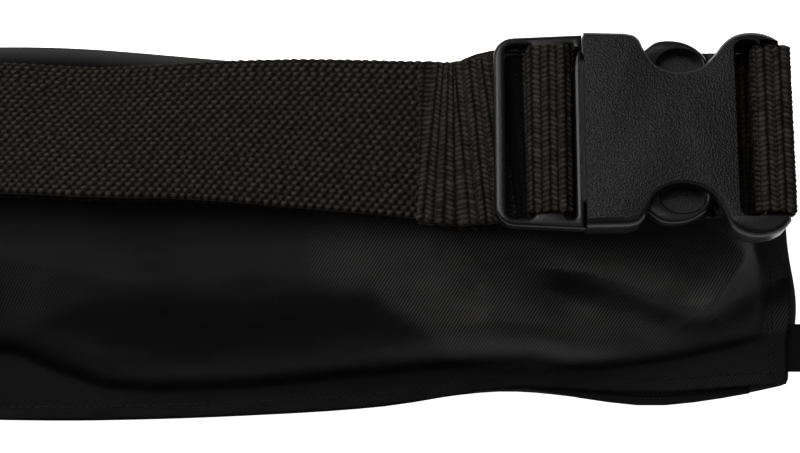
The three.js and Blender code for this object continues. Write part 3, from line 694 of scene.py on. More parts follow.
# name, start and end along the route, steps along and across, weave of each face, frame node
belt_plan = [
    ("belt_housing_loop", 0, rear_start, FINE, STROKE / 4, rib_height, rib_height, "belt_rear_strand"),
    ("belt_under", rear_start, near_start, COARSE, ROW / 1.5, knot_height, knot_height, "belt_rear_strand"),
    ("belt_over_left", near_start, near_seen, COARSE / 1.5, ROW / 3, knot_height, None, "belt_near_strand"),
    ("belt_over", near_seen, near_end, FINE, ROW / 4, knot_height, None, "belt_near_strand"),
    ("belt_tail", near_end, route_marks[-1], FINE, STROKE / 4, rib_height, rib_height, "belt_near_strand"),
]
for name, start, end, step, across_step, up_face, down_face, cad_node in belt_plan:
    piece = ribbon(name, start, end, step, across_step, up_face, down_face)
    outward(piece)
    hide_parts(cad_node)
    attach(piece, "root")
    print(piece.name, len(piece.data.polygons), "faces")

# %% [markdown]
# ## Things that repeat along a line
#
# Stitches and zip coils are the same small shape set at an even pitch along a curve. That is what
# Geometry Nodes do well: one tree takes a curve, a small item, a pitch and a finish, and sets the
# item at every step. The result is made a plain mesh, so nothing depends on the tree afterwards.

# %% A tree that repeats an item along a curve


def repeat_tree():
    """Copies of an item at an even pitch along a curve, each turned a little at random."""
    tree = bpy.data.node_groups.new("repeat_along", "GeometryNodeTree")
    sizes = {"Pitch": "Float", "Jitter": "Float"}
    sockets = {"Line": "Geometry", "Item": "Object", **sizes, "Finish": "Material"}
    for label, kind in sockets.items():
        tree.interface.new_socket(label, in_out="INPUT", socket_type="NodeSocket" + kind)
    tree.interface.new_socket("Pieces", in_out="OUTPUT", socket_type="NodeSocketGeometry")
    kinds = {
        "given": "NodeGroupInput",
        "spots": "GeometryNodeCurveToPoints",
        "item": "GeometryNodeObjectInfo",
        "down": "ShaderNodeVectorMath",
        "chance": "FunctionNodeRandomValue",
        "euler": "FunctionNodeEulerToRotation",
        "turn": "FunctionNodeRotateRotation",
        "place": "GeometryNodeInstanceOnPoints",
        "real": "GeometryNodeRealizeInstances",
        "finish": "GeometryNodeSetMaterial",
        "done": "NodeGroupOutput",
    }
    made = {name: tree.nodes.new(kind) for name, kind in kinds.items()}
    made["spots"].mode = "LENGTH"
    made["chance"].data_type = "FLOAT_VECTOR"
    made["chance"].inputs["Seed"].default_value = 7
    made["down"].operation = "SCALE"
    made["down"].inputs["Scale"].default_value = -1
    made["turn"].rotation_space = "LOCAL"
    # from node and output, to node and input
    links = [
        ("given", "Line", "spots", "Curve"),
        ("given", "Pitch", "spots", "Length"),
        ("given", "Item", "item", "Object"),
        ("given", "Jitter", "chance", "Max"),
        ("given", "Jitter", "down", 0),
        ("down", 0, "chance", "Min"),
        ("chance", "Value", "euler", 0),
        ("spots", "Rotation", "turn", "Rotation"),
        ("euler", 0, "turn", "Rotate By"),
        ("spots", "Points", "place", "Points"),
        ("item", "Geometry", "place", "Instance"),
        ("turn", 0, "place", "Rotation"),
        ("place", "Instances", "real", "Geometry"),
        ("real", "Geometry", "finish", "Geometry"),
        ("given", "Finish", "finish", "Material"),
        ("finish", "Geometry", "done", "Pieces"),
    ]
    for source, output, target, socket in links:
        tree.links.new(made[source].outputs[output], made[target].inputs[socket])
    return tree


REPEAT = repeat_tree()


def capsule(name, length, radius, sides=6):
    """A small closed thread, long along Z, in mm."""
    points = []
    rings = [(-0.5, 0.35), (-0.42, 0.8), (0, 1.0), (0.42, 0.8), (0.5, 0.35)]
    for place, share in rings:
        for k in range(sides):
            angle = 2 * math.pi * k / sides
            x, y = math.cos(angle), math.sin(angle)
            points.append((share * radius * x, share * radius * y, place * length))
    faces = grid_faces(len(rings), sides, wrap=True)
    faces.append(tuple(range(sides))[::-1])
    faces.append(tuple(range((len(rings) - 1) * sides, len(rings) * sides)))
    return mesh_piece(name, points, faces)


def repeat_along(name, lines, item, pitch, finish, jitter=0.0):
    """Copies of item at an even pitch along each line of points in mm, as one plain mesh.

    The item itself is removed afterwards.
    """
    curve = bpy.data.curves.new(name, "CURVE")
    curve.dimensions = "3D"
    curve.twist_mode = "Z_UP"
    for points in lines:
        spline = curve.splines.new("POLY")
        spline.points.add(len(points) - 1)
        for spot, place in zip(spline.points, points):
            spot.co = (place[0] * MM, place[1] * MM, place[2] * MM, 1)
    carrier = new_object(name, curve)
    modifier = carrier.modifiers.new("repeat", "NODES")
    modifier.node_group = REPEAT
    keys = {s.name: s.identifier for s in REPEAT.interface.items_tree if s.in_out == "INPUT"}
    modifier[keys["Item"]] = item
    modifier[keys["Pitch"]] = pitch * MM
    modifier[keys["Jitter"]] = jitter
    modifier[keys["Finish"]] = finish
    mesh = shown_mesh(carrier)
    for helper in (carrier, item):
        bpy.data.objects.remove(helper)
    print(name, len(mesh.polygons), "faces")
    return new_object(name, mesh)


# %% [markdown]
# ## The pouch's back panel
#
# This is the soft main form: black twill pulled over the imported cell, with a sewn flange all
# round. Its height comes from the frame's solid, read on a grid of rays and softened. Folds are
# then pressed in: each is a line seen in the photograph, raised or sunk, with a spread. A
# simulated pad would fold where it likes, so the folds that show are listed one by one, and a
# little fixed noise adds the small unevenness of slack cloth.

# %% Panel grid and base heights
COARSE_COLUMNS = 40
FINE_COLUMNS = 250
PANEL_COLUMNS = COARSE_COLUMNS + FINE_COLUMNS
PANEL_ROWS = 130
PANEL_CLOTH = 1.0
FLANGE_WIDTH = 9.0
FLANGE_LEVEL = 24.0
# rays keep this far inside the panel's edges
EDGE_INSET = 0.3

panel_tree = face_tree(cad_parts["back_panel"])


def plan_edges(tree, xs, low, high, step=0.4):
    """The lowest and highest y where rays from above meet the tree, for each x."""
    edges = []
    for x in xs:
        ys = np.arange(low, high, step)
        met = [y for y in ys if ray_height(tree, float(x), float(y), OVER_ALL) is not None]
        edges.append((met[0], met[-1]) if met else (np.nan, np.nan))
    return np.array(edges)


first_x, last_x = pouch_low.x + EDGE_INSET, pouch_high.x - EDGE_INSET
edge_xs = np.linspace(first_x, last_x, 120)
edge_ys = plan_edges(panel_tree, edge_xs, pouch_low.y - 1, pouch_high.y + 1)
low_ys, high_ys = edge_ys[:, 0], edge_ys[:, 1]
# the columns are closer inside the picture, where the folds show
columns = np.concatenate((
    np.linspace(pouch_low.x, PICTURE_EDGE, COARSE_COLUMNS, endpoint=False),
    np.linspace(PICTURE_EDGE, pouch_high.x, FINE_COLUMNS),
))
rows = np.linspace(0, 1, PANEL_ROWS)
panel_low = np.interp(columns, edge_xs, low_ys)
panel_high = np.interp(columns, edge_xs, high_ys)
panel_x = np.repeat(columns[:, None], PANEL_ROWS, axis=1)
panel_y = panel_low[:, None] + (panel_high - panel_low)[:, None] * rows[None, :]
panel_z = np.zeros_like(panel_x)
for i in range(PANEL_COLUMNS):
    for j in range(PANEL_ROWS):
        x = min(max(panel_x[i, j], first_x), last_x)
        y = min(max(panel_y[i, j], panel_low[i] + EDGE_INSET), panel_high[i] - EDGE_INSET)
        found = ray_height(panel_tree, x, y, OVER_ALL)
        panel_z[i, j] = FLANGE_LEVEL if found is None else found


def soften(values, passes):
    """Averages each value with its neighbours, and keeps the outer ring."""
    for _ in range(passes):
        inner = values.copy()
        inner[1:-1, 1:-1] = (
            4 * values[1:-1, 1:-1]
            + 2 * (values[:-2, 1:-1] + values[2:, 1:-1] + values[1:-1, :-2] + values[1:-1, 2:])
            + (values[:-2, :-2] + values[2:, 2:] + values[:-2, 2:] + values[2:, :-2])
        ) / 16
        values = inner
    return values


panel_z = soften(panel_z, 3)
# pixels down the panel's right edge
RIGHT_EDGE = [(776, 240), (782, 257), (789, 273), (791, 300), (788, 324), (786, 345), (786, 385)]
right_xs, right_ys = zip(*(photo_place(px, py, FLANGE_LEVEL) for px, py in RIGHT_EDGE[::-1]))
edge_reach = np.interp(panel_y, right_ys, right_xs) - pouch_high.x
panel_x += np.minimum(edge_reach, 0) * ease(100, pouch_high.x, panel_x)
print("panel rises to", round(float(panel_z.max()), 1), "mm")

# %% Folds and slack
PANEL_LEVEL = 48.0
CREASE_LEVEL = 30.0
# name, pixels from left to right, then in mm: spread above and below the line, and lift
FOLDS = [
    ("v_left_arm", [(508, 266), (545, 269), (585, 275), (625, 287), (665, 301), (704, 313)], 7.0, 1.6, 4.2),
    ("v_right_arm", [(706, 313), (736, 300), (763, 286), (787, 276)], 5.0, 1.5, 3.2),
    ("v_ridge", [(710, 306), (728, 282), (748, 256)], 4.0, 1.3, 2.4),
    ("long_hollow", [(490, 282), (560, 296), (610, 318), (650, 346)], 4.0, 6.0, -2.4),
    ("lit_bulge", [(400, 346), (470, 330), (540, 336), (600, 348)], 9.0, 6.0, 2.2),
    ("low_hollow", [(640, 330), (700, 336), (750, 322), (785, 308)], 4.5, 5.0, -2.0),
    ("pinch", [(446, 254), (460, 268), (476, 284)], 2.4, 2.4, -0.8),
    ("pinch_lip", [(456, 252), (474, 270), (492, 288)], 3.0, 2.4, 0.5),
    ("bulge_edge", [(0, 338), (30, 350), (60, 364), (100, 377), (214, 377), (300, 376)], 5.0, 3.0, 0.5),
    ("second_fold", [(0, 367), (40, 372), (90, 382)], 3.0, 3.0, -1.2),
    ("right_soft", [(640, 360), (690, 352), (740, 340), (785, 332)], 3.0, 3.0, -1.5),
]
# folds that start softly, within this many mm, and those with painted shade at the foot and a painted
# highlight on the crest
SOFT_START = 22.0
SOFT_STARTED = ("v_left_arm", "long_hollow")
SHARP = ("v_left_arm", "v_right_arm")
# pixels: the lower edge of the painted light on the cloth, and the painted light's level from left to right
LIT_EDGE = [
    (0, 335), (40, 320), (90, 300), (150, 290), (300, 286), (370, 292), (410, 320), (450, 352), (520, 364),
    (600, 361), (640, 348), (700, 338), (790, 326),
]
PAINTED_LIGHT = [
    (0, 0.75), (60, 0.6), (150, 0.45), (300, 0.5), (380, 1.9), (440, 2.1), (560, 1.5), (640, 2.3), (800, 1.9),
]
# pixels: the crease where the bulge meets the flange
CREASE = [
    (0, 345), (27, 353), (54, 366), (88, 379), (120, 384), (214, 381), (295, 381), (348, 372), (420, 361),
    (460, 362), (514, 366), (546, 367), (589, 364), (640, 360), (690, 352), (740, 340), (790, 330),
]


def signed_distance(path, x, y):
    """Distance of every grid point from a broken line, above zero on its left side."""
    nearest = np.full(x.shape, 1e9)
    side = np.ones(x.shape)
    for (ax, ay), (bx, by) in zip(path, path[1:]):
        dx, dy = bx - ax, by - ay
        t = np.clip(((x - ax) * dx + (y - ay) * dy) / (dx * dx + dy * dy), 0, 1)
        away = np.hypot(x - ax - t * dx, y - ay - t * dy)
        turn = np.sign(dx * (y - ay) - dy * (x - ax))
        side = np.where(away < nearest, turn, side)
        nearest = np.minimum(nearest, away)
    return nearest * side


folds = np.zeros_like(panel_z)
fold_shade = np.zeros_like(panel_z)
fold_highlight = np.zeros_like(panel_z)
for name, pixels, above, below, lift in FOLDS:
    path = [photo_place(px, py, PANEL_LEVEL) for px, py in pixels]
    away = signed_distance(path, panel_x, panel_y)
    away = np.where(away > 0, away / above, away / below)
    from_start = np.hypot(panel_x - path[0][0], panel_y - path[0][1])
    shown = ease(0, SOFT_START, from_start) if name in SOFT_STARTED else 1.0
    folds += lift * np.exp(-away * away) * shown
    # painted shade below the sharp folds and a painted highlight along their crests
    if name in SHARP:
        fold_shade = np.maximum(fold_shade, np.exp(-((away + 2.6) / 2.8) ** 2) * (away < 0) * shown)
        fold_highlight = np.maximum(fold_highlight, np.exp(-((away - 0.4) / 0.7) ** 2) * (away > 0) * shown)

slack = np.zeros_like(panel_z)
for i in range(PANEL_COLUMNS):
    for j in range(PANEL_ROWS):
        spot = Vector((panel_x[i, j] / 34, panel_y[i, j] / 17, 3.7))
        slack[i, j] = 0.9 * noise.noise(spot) + 0.35 * noise.noise(spot * 2.7)

raised = ease(26, 40, panel_z)
under_belt = ease(-6, 4, panel_y)
panel_z += (folds + slack) * raised * (1 - under_belt)
inside = np.minimum(panel_y - panel_low[:, None], panel_high[:, None] - panel_y)
ripple = 0.35 * np.sin(panel_x / 9.0) + 0.3 * np.sin(panel_x / 3.7 + 1.3)
panel_z += ripple * (1 - ease(0, FLANGE_WIDTH, inside)) * ease(1, 4, inside)
print("folds press in as deep as", round(float(folds.min()), 1), "mm")

# %% Painted light and shade on the cloth


def line_height(pixels, level):
    """Height y of a line of pixels at each grid column's x, at a level z in mm."""
    xs, ys = zip(*(photo_place(px, py, level) for px, py in pixels))
    return np.interp(panel_x, xs, ys)


# painted shade under the bulge and painted shadow in the sunk band by the seam; the painted light is
# brightest at the right
below_lit = ease(-4.0, 4.0, line_height(LIT_EDGE, PANEL_LEVEL) - panel_y)
below_crease = ease(-2.0, 1.0, line_height(CREASE, CREASE_LEVEL) - panel_y)
shine_xs, shine = zip(*((photo_place(px, 260, PANEL_LEVEL)[0], value) for px, value in PAINTED_LIGHT))
painted_level = np.interp(panel_x, shine_xs, shine)
painted_level *= 1 - 0.8 * below_lit * (1 - ease(15, 60, panel_x) * 0.6)
painted_level *= (1 - 0.75 * fold_shade) * (1 + 0.8 * fold_highlight)
# the sunk band by the seam gets its own low level: painted shadow
band_shadow = 0.24 + 0.3 * ease(45, 75, panel_x)
painted_shading_here = painted_level * (1 - below_crease) + band_shadow * below_crease
print("sheen from", round(float(painted_shading_here.min()), 2), "to", round(float(painted_shading_here.max()), 2))

# %% Panel cloth
panel_cloud = np.stack((panel_x, panel_y, panel_z), axis=-1).reshape(-1, 3)
pouch_back = mesh_piece("pouch_back", panel_cloud, grid_faces(PANEL_COLUMNS, PANEL_ROWS))
if pouch_back.data.polygons[0].normal.z < 0:
    pouch_back.data.flip_normals()
wall = pouch_back.modifiers.new("cloth", "SOLIDIFY")
wall.thickness = PANEL_CLOTH * MM
wall.offset = -1
# the pouch's painted light and shade, for the twill's colour
painted_shading = pouch_back.data.attributes.new("painted_shading", "FLOAT", "POINT")
painted_shading.data.foreach_set("value", painted_shading_here.reshape(-1).astype(np.float32))
apply_modifiers(pouch_back)
dress(pouch_back, TWILL)
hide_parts("back_panel")
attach(pouch_back, "root")

# %% [markdown]
# ## Front cover, zip and tab
#
# The cover is smoother coated cloth, and only its top edge and right end show past the belt and
# the panel. A copy of its solid is merged and rounded by subdivision. The zip's tape and coil lie
# along the bottom edge, where the back panel stops short, and the coil's turns repeat along it.

# %% Front cover
TOP_BELLY = 1.8
RIGHT_BELLY = 3.0
cover = new_object("front_cover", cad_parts["front_panel"].data.copy())
work = bmesh.new()
work.from_mesh(cover.data)
bmesh.ops.remove_doubles(work, verts=work.verts, dist=1e-6)
bmesh.ops.join_triangles(work, faces=work.faces, angle_face_threshold=0.7, angle_shape_threshold=1.2)
work.to_mesh(cover.data)
work.free()
cover.data.polygons.foreach_set("use_smooth", [True] * len(cover.data.polygons))
# the cover bellies out along its top edge at the left, and low at its right end
for v in cover.data.vertices:
    x, y = v.co.x / MM, v.co.y / MM
    v.co.y += TOP_BELLY * MM * float(ease(35, 56, y) * (1 - ease(-120, -45, x)))
    low_right = ease(105, 122, x) * ease(-40, -24, y) * (1 - ease(-14, -2, y))
    v.co.x += RIGHT_BELLY * MM * float(low_right)
rounding = cover.modifiers.new("rounding", "SUBSURF")
rounding.levels = 2
rounding.render_levels = 2
apply_modifiers(cover)
dress(cover, COVER)
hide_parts("front_panel")
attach(cover, "root")
print("front cover", len(cover.data.polygons), "faces")

# %% Zip tape and coil
ZIP_WIDTH = 9.0
COIL_PITCH = 1.5
COIL_REACH = 2.4
COIL_RADIUS = 0.5
COIL_SLANT = 72
zip_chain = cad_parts["zip_chain"]
dress(zip_chain, TAPE)
zip_low, zip_high = node_box("zip_chain")
zip_xs = np.arange(zip_low.x + 2, zip_high.x - 2, 3.0)
zip_edge = plan_edges(face_tree(zip_chain), zip_xs, zip_low.y - 1, zip_high.y + 1)[:, 0]
coil_line = [(x, y + ZIP_WIDTH / 2, zip_high.z - 0.3) for x, y in zip(zip_xs, zip_edge)]
coil_turn = capsule("coil_turn", COIL_REACH, COIL_RADIUS)
coil_turn.data.transform(Matrix.Rotation(math.radians(COIL_SLANT), 4, "Y"))
coil = repeat_along("zip_coil", [coil_line], coil_turn, COIL_PITCH, COIL)
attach(coil, "root")

# %% End tab
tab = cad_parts["end_tab"]
dress(tab, TAPE)
softened = tab.modifiers.new("soft_edge", "BEVEL")
softened.width = 0.25 * MM
softened.segments = 2

# %% [markdown]
# ## Stitching
#
# A row of lockstitches runs along the bottom flange, two short rows close the right end and one
# the left, and a dense bar of thread crosses the tail's hem. Each is a small thread, repeated.

# %% Stitch rows
STITCH_LENGTH = 2.1
STITCH_PITCH = 2.6
STITCH_INSET = 4.0
pouch_tree = face_tree(pouch_back)


def on_pouch(x, y, lift=0.12):
    """A point on the pouch's cloth, a little proud of it."""
    found = ray_height(pouch_tree, x, y, OVER_ALL)
    return (x, y, (FLANGE_LEVEL if found is None else found) + lift)


bottom_xs = np.arange(pouch_low.x + 5, pouch_high.x - 4, 2)
bottom_row = [on_pouch(x, float(np.interp(x, edge_xs, low_ys)) + STITCH_INSET) for x in bottom_xs]
# x and upper end of each row across the pouch's ends
END_ROWS = ((pouch_high.x - 6.0, -8), (pouch_high.x - 7.4, -26), (pouch_low.x + 6.0, 44))
end_rows = [[on_pouch(x, y) for y in np.arange(-42, top, 2)] for x, top in END_ROWS]
stitch = capsule("stitch", STITCH_LENGTH, 0.26)
flange_stitches = repeat_along("flange_stitches", [bottom_row] + end_rows, stitch, STITCH_PITCH, THREAD, 0.08)
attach(flange_stitches, "root")

# %% Bar of thread across the hem
HEM_BAR = tail_end + 11.5
HEM_BAR_WIDTH = 3.6
hem_place = route_marks[TAIL_FOLD] - (HEM_BAR - tail_end)
hem_middle, hem_across, hem_up = (part[0] for part in route_frames(hem_place, hem_place + 1, 1)[1:])
hem_lift = WEB_THICK / 2 + 0.1
hem_line = [hem_middle + hem_across * w + hem_up * hem_lift for w in np.arange(-23, 23.5, 1)]
hem_thread = capsule("hem_thread", HEM_BAR_WIDTH, 0.3)
hem_thread.data.transform(Matrix.Rotation(math.radians(84), 4, "Y"))
hem_bar = repeat_along("hem_bar", [hem_line], hem_thread, 0.55, THREAD, 0.05)
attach(hem_bar, "root")

# %% [markdown]
# ## The buckle
#
# Both halves are moulded plastic, so every edge is rounded and the broad faces are stippled. A
# flat outline, raised to its thickness with a round bevel, gives most of such a part. Slots and
# recesses in the frame are further outlines, and the housing's hollow, slot and bar are cut with
# booleans.

# %% Moulded plates
ARC_POINTS = 8


def inset_ring(outline, distance):
    """The closed outline moved inwards, to the left of its way round. Each point has its own share."""
    ring = outline[:, :2]
    ahead = np.roll(ring, -1, axis=0) - ring
    ahead /= np.linalg.norm(ahead, axis=1, keepdims=True)
    behind = np.roll(ahead, 1, axis=0)
    side = np.stack((-ahead[:, 1] - behind[:, 1], ahead[:, 0] + behind[:, 0]), axis=1) / 2
    side /= np.maximum(np.sum(side * side, axis=1, keepdims=True), 0.3)
    return ring + side * distance * outline[:, 2:]


def outline_plate(name, outlines, thickness, edge, segments=4):
    """Closed outlines in mm, the first solid and the rest holes, raised round z 0 with a round edge.

    A point may carry a third number, the share of the edge's width there.
    """
    work = bmesh.new()
    ends = []
    for number, outline in enumerate(outlines):
        pairs = zip(outline, outline[1:] + outline[:1])
        ring = np.array([(*p, 1.0)[:3] for p, q in pairs if math.dist(p[:2], q[:2]) > 0.02])
        area = np.sum(ring[:, 0] * np.roll(ring[:, 1], -1) - ring[:, 1] * np.roll(ring[:, 0], -1))
        if (area > 0) != (number == 0):
            ring = ring[::-1]
        levels = []
        for k in range(-segments, segments + 1):
            angle = math.pi / 2 * abs(k) / segments
            height = thickness / 2 - edge + edge * math.sin(angle)
            levels.append((edge * (1 - math.cos(angle)), math.copysign(height, k) if k else None))
        rings = []
        for inset, height in levels:
            placed = inset_ring(ring, inset)
            for z in ([-(thickness / 2 - edge), thickness / 2 - edge] if height is None else [height]):
                rings.append([work.verts.new((x * MM, y * MM, z * MM)) for x, y in placed])
        for lower, upper in zip(rings, rings[1:]):
            for i in range(len(lower)):
                k = (i + 1) % len(lower)
                work.faces.new((lower[i], lower[k], upper[k], upper[i]))
        ends.append((rings[0], rings[-1]))
    for side in (0, 1):
        loops = [[v.co.copy() for v in pair[side]] for pair in ends]
        corners = [v for pair in ends for v in pair[side]]
        for triangle in geometry.tessellate_polygon(loops):
            if len(set(triangle)) == 3:
                work.faces.new([corners[i] for i in triangle])
    mesh = bpy.data.meshes.new(name)
    work.to_mesh(mesh)
    work.free()
    return outward(new_object(name, mesh))


def arc(cx, cy, radius, start, end):
    """Points on an arc, angles in degrees."""
    angles = np.radians(np.linspace(start, end, ARC_POINTS))
    return [(cx + radius * math.cos(a), cy + radius * math.sin(a)) for a in angles]


def round_rect(x0, y0, x1, y1, r):
    """A rectangle's outline with corners of radius r."""
    corners = ((x1 - r, y0 + r), (x1 - r, y1 - r), (x0 + r, y1 - r), (x0 + r, y0 + r))
    return [p for k, (x, y) in enumerate(corners) for p in arc(x, y, r, 90 * k - 90, 90 * k)]


def smooth_line(points, count=6):
    """A rounded line through points, with count steps between each two."""
    points = [np.array(p, float) for p in points]
    line = []
    for i in range(len(points) - 1):
        before = points[max(i - 1, 0)]
        after = points[min(i + 2, len(points) - 1)]
        for k in range(count):
            t = k / count
            a = (points[i + 1] - before) / 2
            b = (after - points[i]) / 2
            h = t * t * (3 - 2 * t)
            spot = points[i] * (1 - h) + points[i + 1] * h
            line.append(tuple(spot + (t * (1 - t) ** 2) * a - (t * t * (1 - t)) * b))
    line.append(tuple(points[-1]))
    return line


def block(name, low, high):
    """A box between two corners in mm, as a cutter."""
    (x0, y0, z0), (x1, y1, z1) = low, high
    points = [(x, y, z) for x in (x0, x1) for y in (y0, y1) for z in (z0, z1)]
    faces = [(0, 1, 3, 2), (4, 6, 7, 5), (0, 4, 5, 1), (2, 3, 7, 6), (0, 2, 6, 4), (1, 5, 7, 3)]
    return outward(mesh_piece(name, points, faces, smooth=False))


def cut(piece, cutter):
    """Takes the cutter's room out of the piece, and removes the cutter."""
    modifier = piece.modifiers.new("cut", "BOOLEAN")
    modifier.operation = "DIFFERENCE"
    modifier.solver = "EXACT"
    modifier.object = cutter
    apply_modifiers(piece)
    bpy.data.objects.remove(cutter)


# %% Finish and place of a moulded half
EDGE_ROUND = 0.35
EAR_START = 42.0
EAR_SIDE = 26.0
# stipple of the frame's faces and of the housing's ears, where 1 is the housing's middle
FAINT_STIPPLE = 0.15
BUCKLE_LIFT = 0.45

buckle_roll = belt_roll(parting_x)
buckle_place = Vector((
    parting_x,
    belt_middle(parting_x) + frame_level * math.sin(buckle_roll) + BUCKLE_LIFT,
    belt_height(parting_x) + frame_level * math.cos(buckle_roll),
))


def finish_plastic(piece, stipple):
    """Small rounds on cut edges, stipple on the broad faces but not the ears, then its place."""
    rounds = piece.modifiers.new("rounds", "BEVEL")
    rounds.width = EDGE_ROUND * MM
    rounds.segments = 3
    rounds.limit_method = "ANGLE"
    rounds.angle_limit = math.radians(50)
    rounds.harden_normals = False
    apply_modifiers(piece)
    mesh = piece.data
    flat = np.zeros(len(mesh.vertices), np.float32)
    on_ear = [v.co.x > EAR_START * MM and abs(v.co.y) > EAR_SIDE * MM for v in mesh.vertices]
    for face in mesh.polygons:
        if abs(face.normal.z) > 0.995:
            for v in face.vertices:
                flat[v] = FAINT_STIPPLE if on_ear[v] else stipple
    marks = mesh.attributes.new("stipple", "FLOAT", "POINT")
    marks.data.foreach_set("value", flat)
    mesh.shade_smooth()
    mesh.set_sharp_from_angle(angle=math.radians(38))
    dress(piece, PLASTIC)
    mesh.transform(Matrix.Translation(buckle_place * MM) @ Matrix.Rotation(-buckle_roll, 4, "X"))
    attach(piece, "root")
    print(piece.name, len(mesh.polygons), "faces")


# %% Male half
FRAME_WIDTH = 58.8
FRAME_CORNER = 6.0
SLOT_WIDTH = 52.4
INNER_SLOT = 2.8
HOUSING_BOX = 16.5
CAVITY_WIDTH = 49.0
PRONG_WIDTH = 54.6
PRONG_REACH = 37.5
# how much narrower the frame is at its outer end, and how far its rails end from the housing
FLARE = 0.9
MOUTH_GAP = 0.15
# the oval recess in each prong: half its length and width, the floor's thickness and overlap
RECESS_LONG = 6.6
RECESS_WIDE = 4.7
RECESS_FLOOR = 0.8
RECESS_LAP = 0.6

half_frame = FRAME_WIDTH / 2
half_slot = SLOT_WIDTH / 2
slot_from = FRAME_BAR - FRAME_LENGTH
inner_from = slot_from + OUTER_SLOT + MIDDLE_BAR
base_x = inner_from + INNER_SLOT
prong_half = PRONG_WIDTH / 2
base_half = (CAVITY_WIDTH - 0.8) / 2 - 2
recess_x = HOUSING_BOX + 12.2
recess_y = prong_half - 2.6 - RECESS_WIDE


def male_side(side):
    """Half of the outline: round the frame's corner, along its rail, in to the base, round the prong."""
    corner = arc(FRAME_CORNER - FRAME_LENGTH, half_frame - FLARE - FRAME_CORNER, FRAME_CORNER, 180, 90)
    prong = smooth_line([
        (HOUSING_BOX - 5, base_half),
        (HOUSING_BOX + 1, base_half + 1.9),
        (HOUSING_BOX + 6, prong_half),
        (HOUSING_BOX + 13, prong_half - 0.1),
        (PRONG_REACH - 2.5, prong_half - 3.2),
        (PRONG_REACH, prong_half - 8),
        (PRONG_REACH - 2.5, prong_half - 12.6),
        (PRONG_REACH - 8, prong_half - 14.2),
        (base_x + 9, prong_half - 13.5),
        (base_x + 5, prong_half - 16),
    ])
    mouth = [(MOUTH_GAP, half_frame), (MOUTH_GAP, base_half)]
    return [(x, side * y) for x, y in corner + mouth + prong]


def recess(side, lap=0.0, *share):
    """The oval of one prong's recess, wider all round by lap."""
    long, wide = RECESS_LONG + lap, RECESS_WIDE + lap
    turns = np.linspace(0, 2 * math.pi, 33)[:-1]
    return [(recess_x + long * math.cos(a), side * recess_y + wide * math.sin(a), *share) for a in turns]


holes = [
    round_rect(slot_from, -half_slot, slot_from + OUTER_SLOT, half_slot, 2.4),
    round_rect(inner_from, -half_slot, base_x, half_slot, 1.0),
    recess(-1, 0.0, 0.5),
    recess(1, 0.0, 0.5),
]
male = outline_plate("buckle_frame", [male_side(1) + male_side(-1)[::-1]] + holes, FRAME_THICK, 1.2)
floors = []
for side in (-1, 1):
    plate = outline_plate("recess_floor", [recess(side, RECESS_LAP)], RECESS_FLOOR, 0.1, segments=1)
    plate.data.transform(Matrix.Translation((0, 0, (0.1 - (FRAME_THICK - RECESS_FLOOR) / 2) * MM)))
    floors.append(plate)
with bpy.context.temp_override(active_object=male, selected_editable_objects=[male] + floors):
    bpy.ops.object.join()
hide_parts("buckle_male")
finish_plastic(male, FAINT_STIPPLE)

# %% Female half
HOUSING_LENGTH = 59.6
HOUSING_HALF = 29.6
HOUSING_WAIST = 34.0
HOUSING_EDGE = 3.1
CAVITY_LENGTH = 39.5
STRAP_SLOT_START = 44.2
WAIST_END = 42.0
SLOT_MARGIN = 0.4
waist = HOUSING_WAIST / 2
# how far the lower and the upper ear reach past the even outline
EAR_REACH = {-1: 2.0, 1: -0.7}


def housing_side(side):
    """Half of the outline. The third number is the share of the rounding: less at the waist."""
    ear = half_frame + EAR_REACH[side]
    points = [(-6, HOUSING_HALF, 0.75), (HOUSING_BOX - 4, HOUSING_HALF - 0.4, 0.75)] + smooth_line([
        (HOUSING_BOX - 1.2, 28.6, 0.75),
        (HOUSING_BOX + 0.5, 26.9, 0.6),
        (HOUSING_BOX + 1.9, waist + 6.6, 0.4),
        (HOUSING_BOX + 5.2, waist + 2.0, 0.35),
        (HOUSING_BOX + 10.8, waist, 0.35),
        (WAIST_END - 8.2, waist + 1.2, 0.35),
        (WAIST_END - 4.0, waist + 4.6, 0.35),
        (WAIST_END - 0.6, ear - 2.8, 0.5),
        (WAIST_END + 2.8, ear - 0.2, 0.8),
        (WAIST_END + 7.2, ear + 0.8, 1.0),
        (HOUSING_LENGTH - 6, ear + 0.3, 1.0),
        (HOUSING_LENGTH - 2.4, ear - 1.4, 1.0),
        (HOUSING_LENGTH - 0.2, ear - 3.8, 1.0),
    ])
    return [(x, side * y, share) for x, y, share in points]


outline = housing_side(-1) + housing_side(1)[::-1]
housing = outline_plate("buckle_housing", [outline], HOUSING_THICK, HOUSING_EDGE, segments=6)
room = FRAME_THICK / 2 + 0.4
bar_right = strap_bar_right - parting_x
bar_left = bar_right - STRAP_BAR
bar_half = STRAP_BAR_THICK / 2
slot_side = half_slot + SLOT_MARGIN
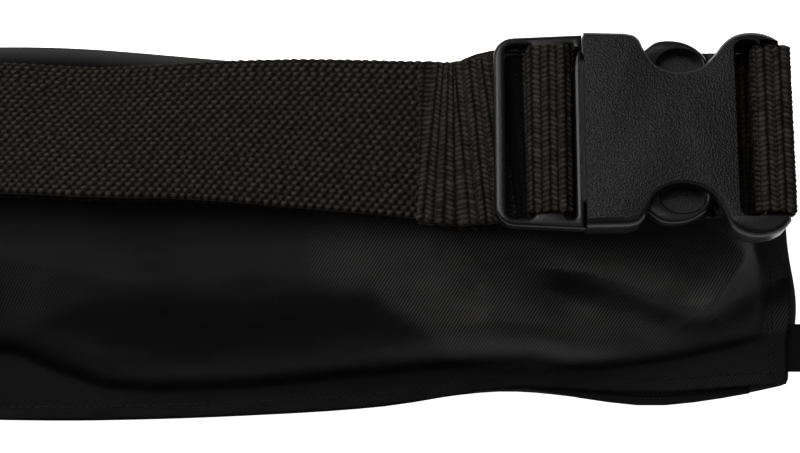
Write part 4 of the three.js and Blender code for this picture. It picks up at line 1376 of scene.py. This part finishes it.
# boxes that take away what lies left of the mouth, the hollow, and what the strap's bar leaves free
cutters = [
    ((-9, -40, -20), (0.4, 40, 20)),
    ((-1, -CAVITY_WIDTH / 2, -room), (HOUSING_BOX, CAVITY_WIDTH / 2, room)),
    ((HOUSING_BOX - 0.4, -40, -room), (CAVITY_LENGTH, 40, room)),
    ((bar_left - 0.4, -slot_side, bar_half), (70, slot_side, 20)),
    ((bar_left - 0.4, -slot_side, -20), (70, slot_side, -bar_half)),
    ((bar_right, -slot_side, -20), (70, slot_side, 20)),
]
for low, high in cutters:
    cut(housing, block("cutter", low, high))
strap_slot = round_rect(STRAP_SLOT_START, -slot_side, bar_left, slot_side, 3.0)
cut(housing, outline_plate("cutter", [strap_slot], 40, 0.1, segments=1))
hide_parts("buckle_female")
finish_plastic(housing, 1)

# %% [markdown]
# ## The hidden air cell
#
# The folded air cell is inside the pouch and never shows, so its plain solid keeps a plain
# coated-cloth finish with a little grain.

# %% Air cell
CELL = grained("cell_cloth", (0.25, 0.26, 0.27), 0.6, 0.5, 700, 2, 0.0001, 0.4)
dress(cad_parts["packed_air_cell"], CELL)

# %% [markdown]
# ## Floor and light
#
# The photograph is cut out on white, so the floor is a plain pale sheet that glows until it is
# white. One large soft lamp stands above and to the left, two weak ones lift the right side and
# the buckle's left edges, and the world fills the rest.

# %% Floor and lamps
floor_finish, floor_shader = new_material("floor", (0.5, 0.5, 0.5), 0.9)
floor_shader.inputs["Emission Color"].default_value = (1, 1, 1, 1)
floor_shader.inputs["Emission Strength"].default_value = 1.0
FLOOR_SIDE = 3000.0
FLOOR_DROP = 0.2
square = ((-1, -1), (1, -1), (1, 1), (-1, 1))
floor_corners = [(x * FLOOR_SIDE, y * FLOOR_SIDE, 0) for x, y in square]
floor = mesh_piece("floor", floor_corners, [(0, 1, 2, 3)])
floor.location.z = -FLOOR_DROP * MM
floor.data.materials.append(floor_finish)

world = bpy.data.worlds.new("studio")
world.use_nodes = True
sky = world.node_tree.nodes["Background"]
sky.inputs["Color"].default_value = (1, 1, 1, 1)
sky.inputs["Strength"].default_value = 0.16
bpy.context.scene.world = world


def lamp(name, place, size, power):
    """A square area lamp that faces the camera's target."""
    data = bpy.data.lights.new(name, "AREA")
    data.shape = "SQUARE"
    data.size = size * MM
    data.energy = power
    made = new_object(name, data)
    made.location = Vector(place) * MM
    aim = Vector(CAMERA_TARGET) * MM - made.location
    made.rotation_euler = aim.to_track_quat("-Z", "Y").to_euler()


lamp("key", (-450, 420, 950), 850, 27)
lamp("fill", (500, -250, 1100), 900, 2.5)
lamp("side", (-650, 60, 420), 260, 0.9)
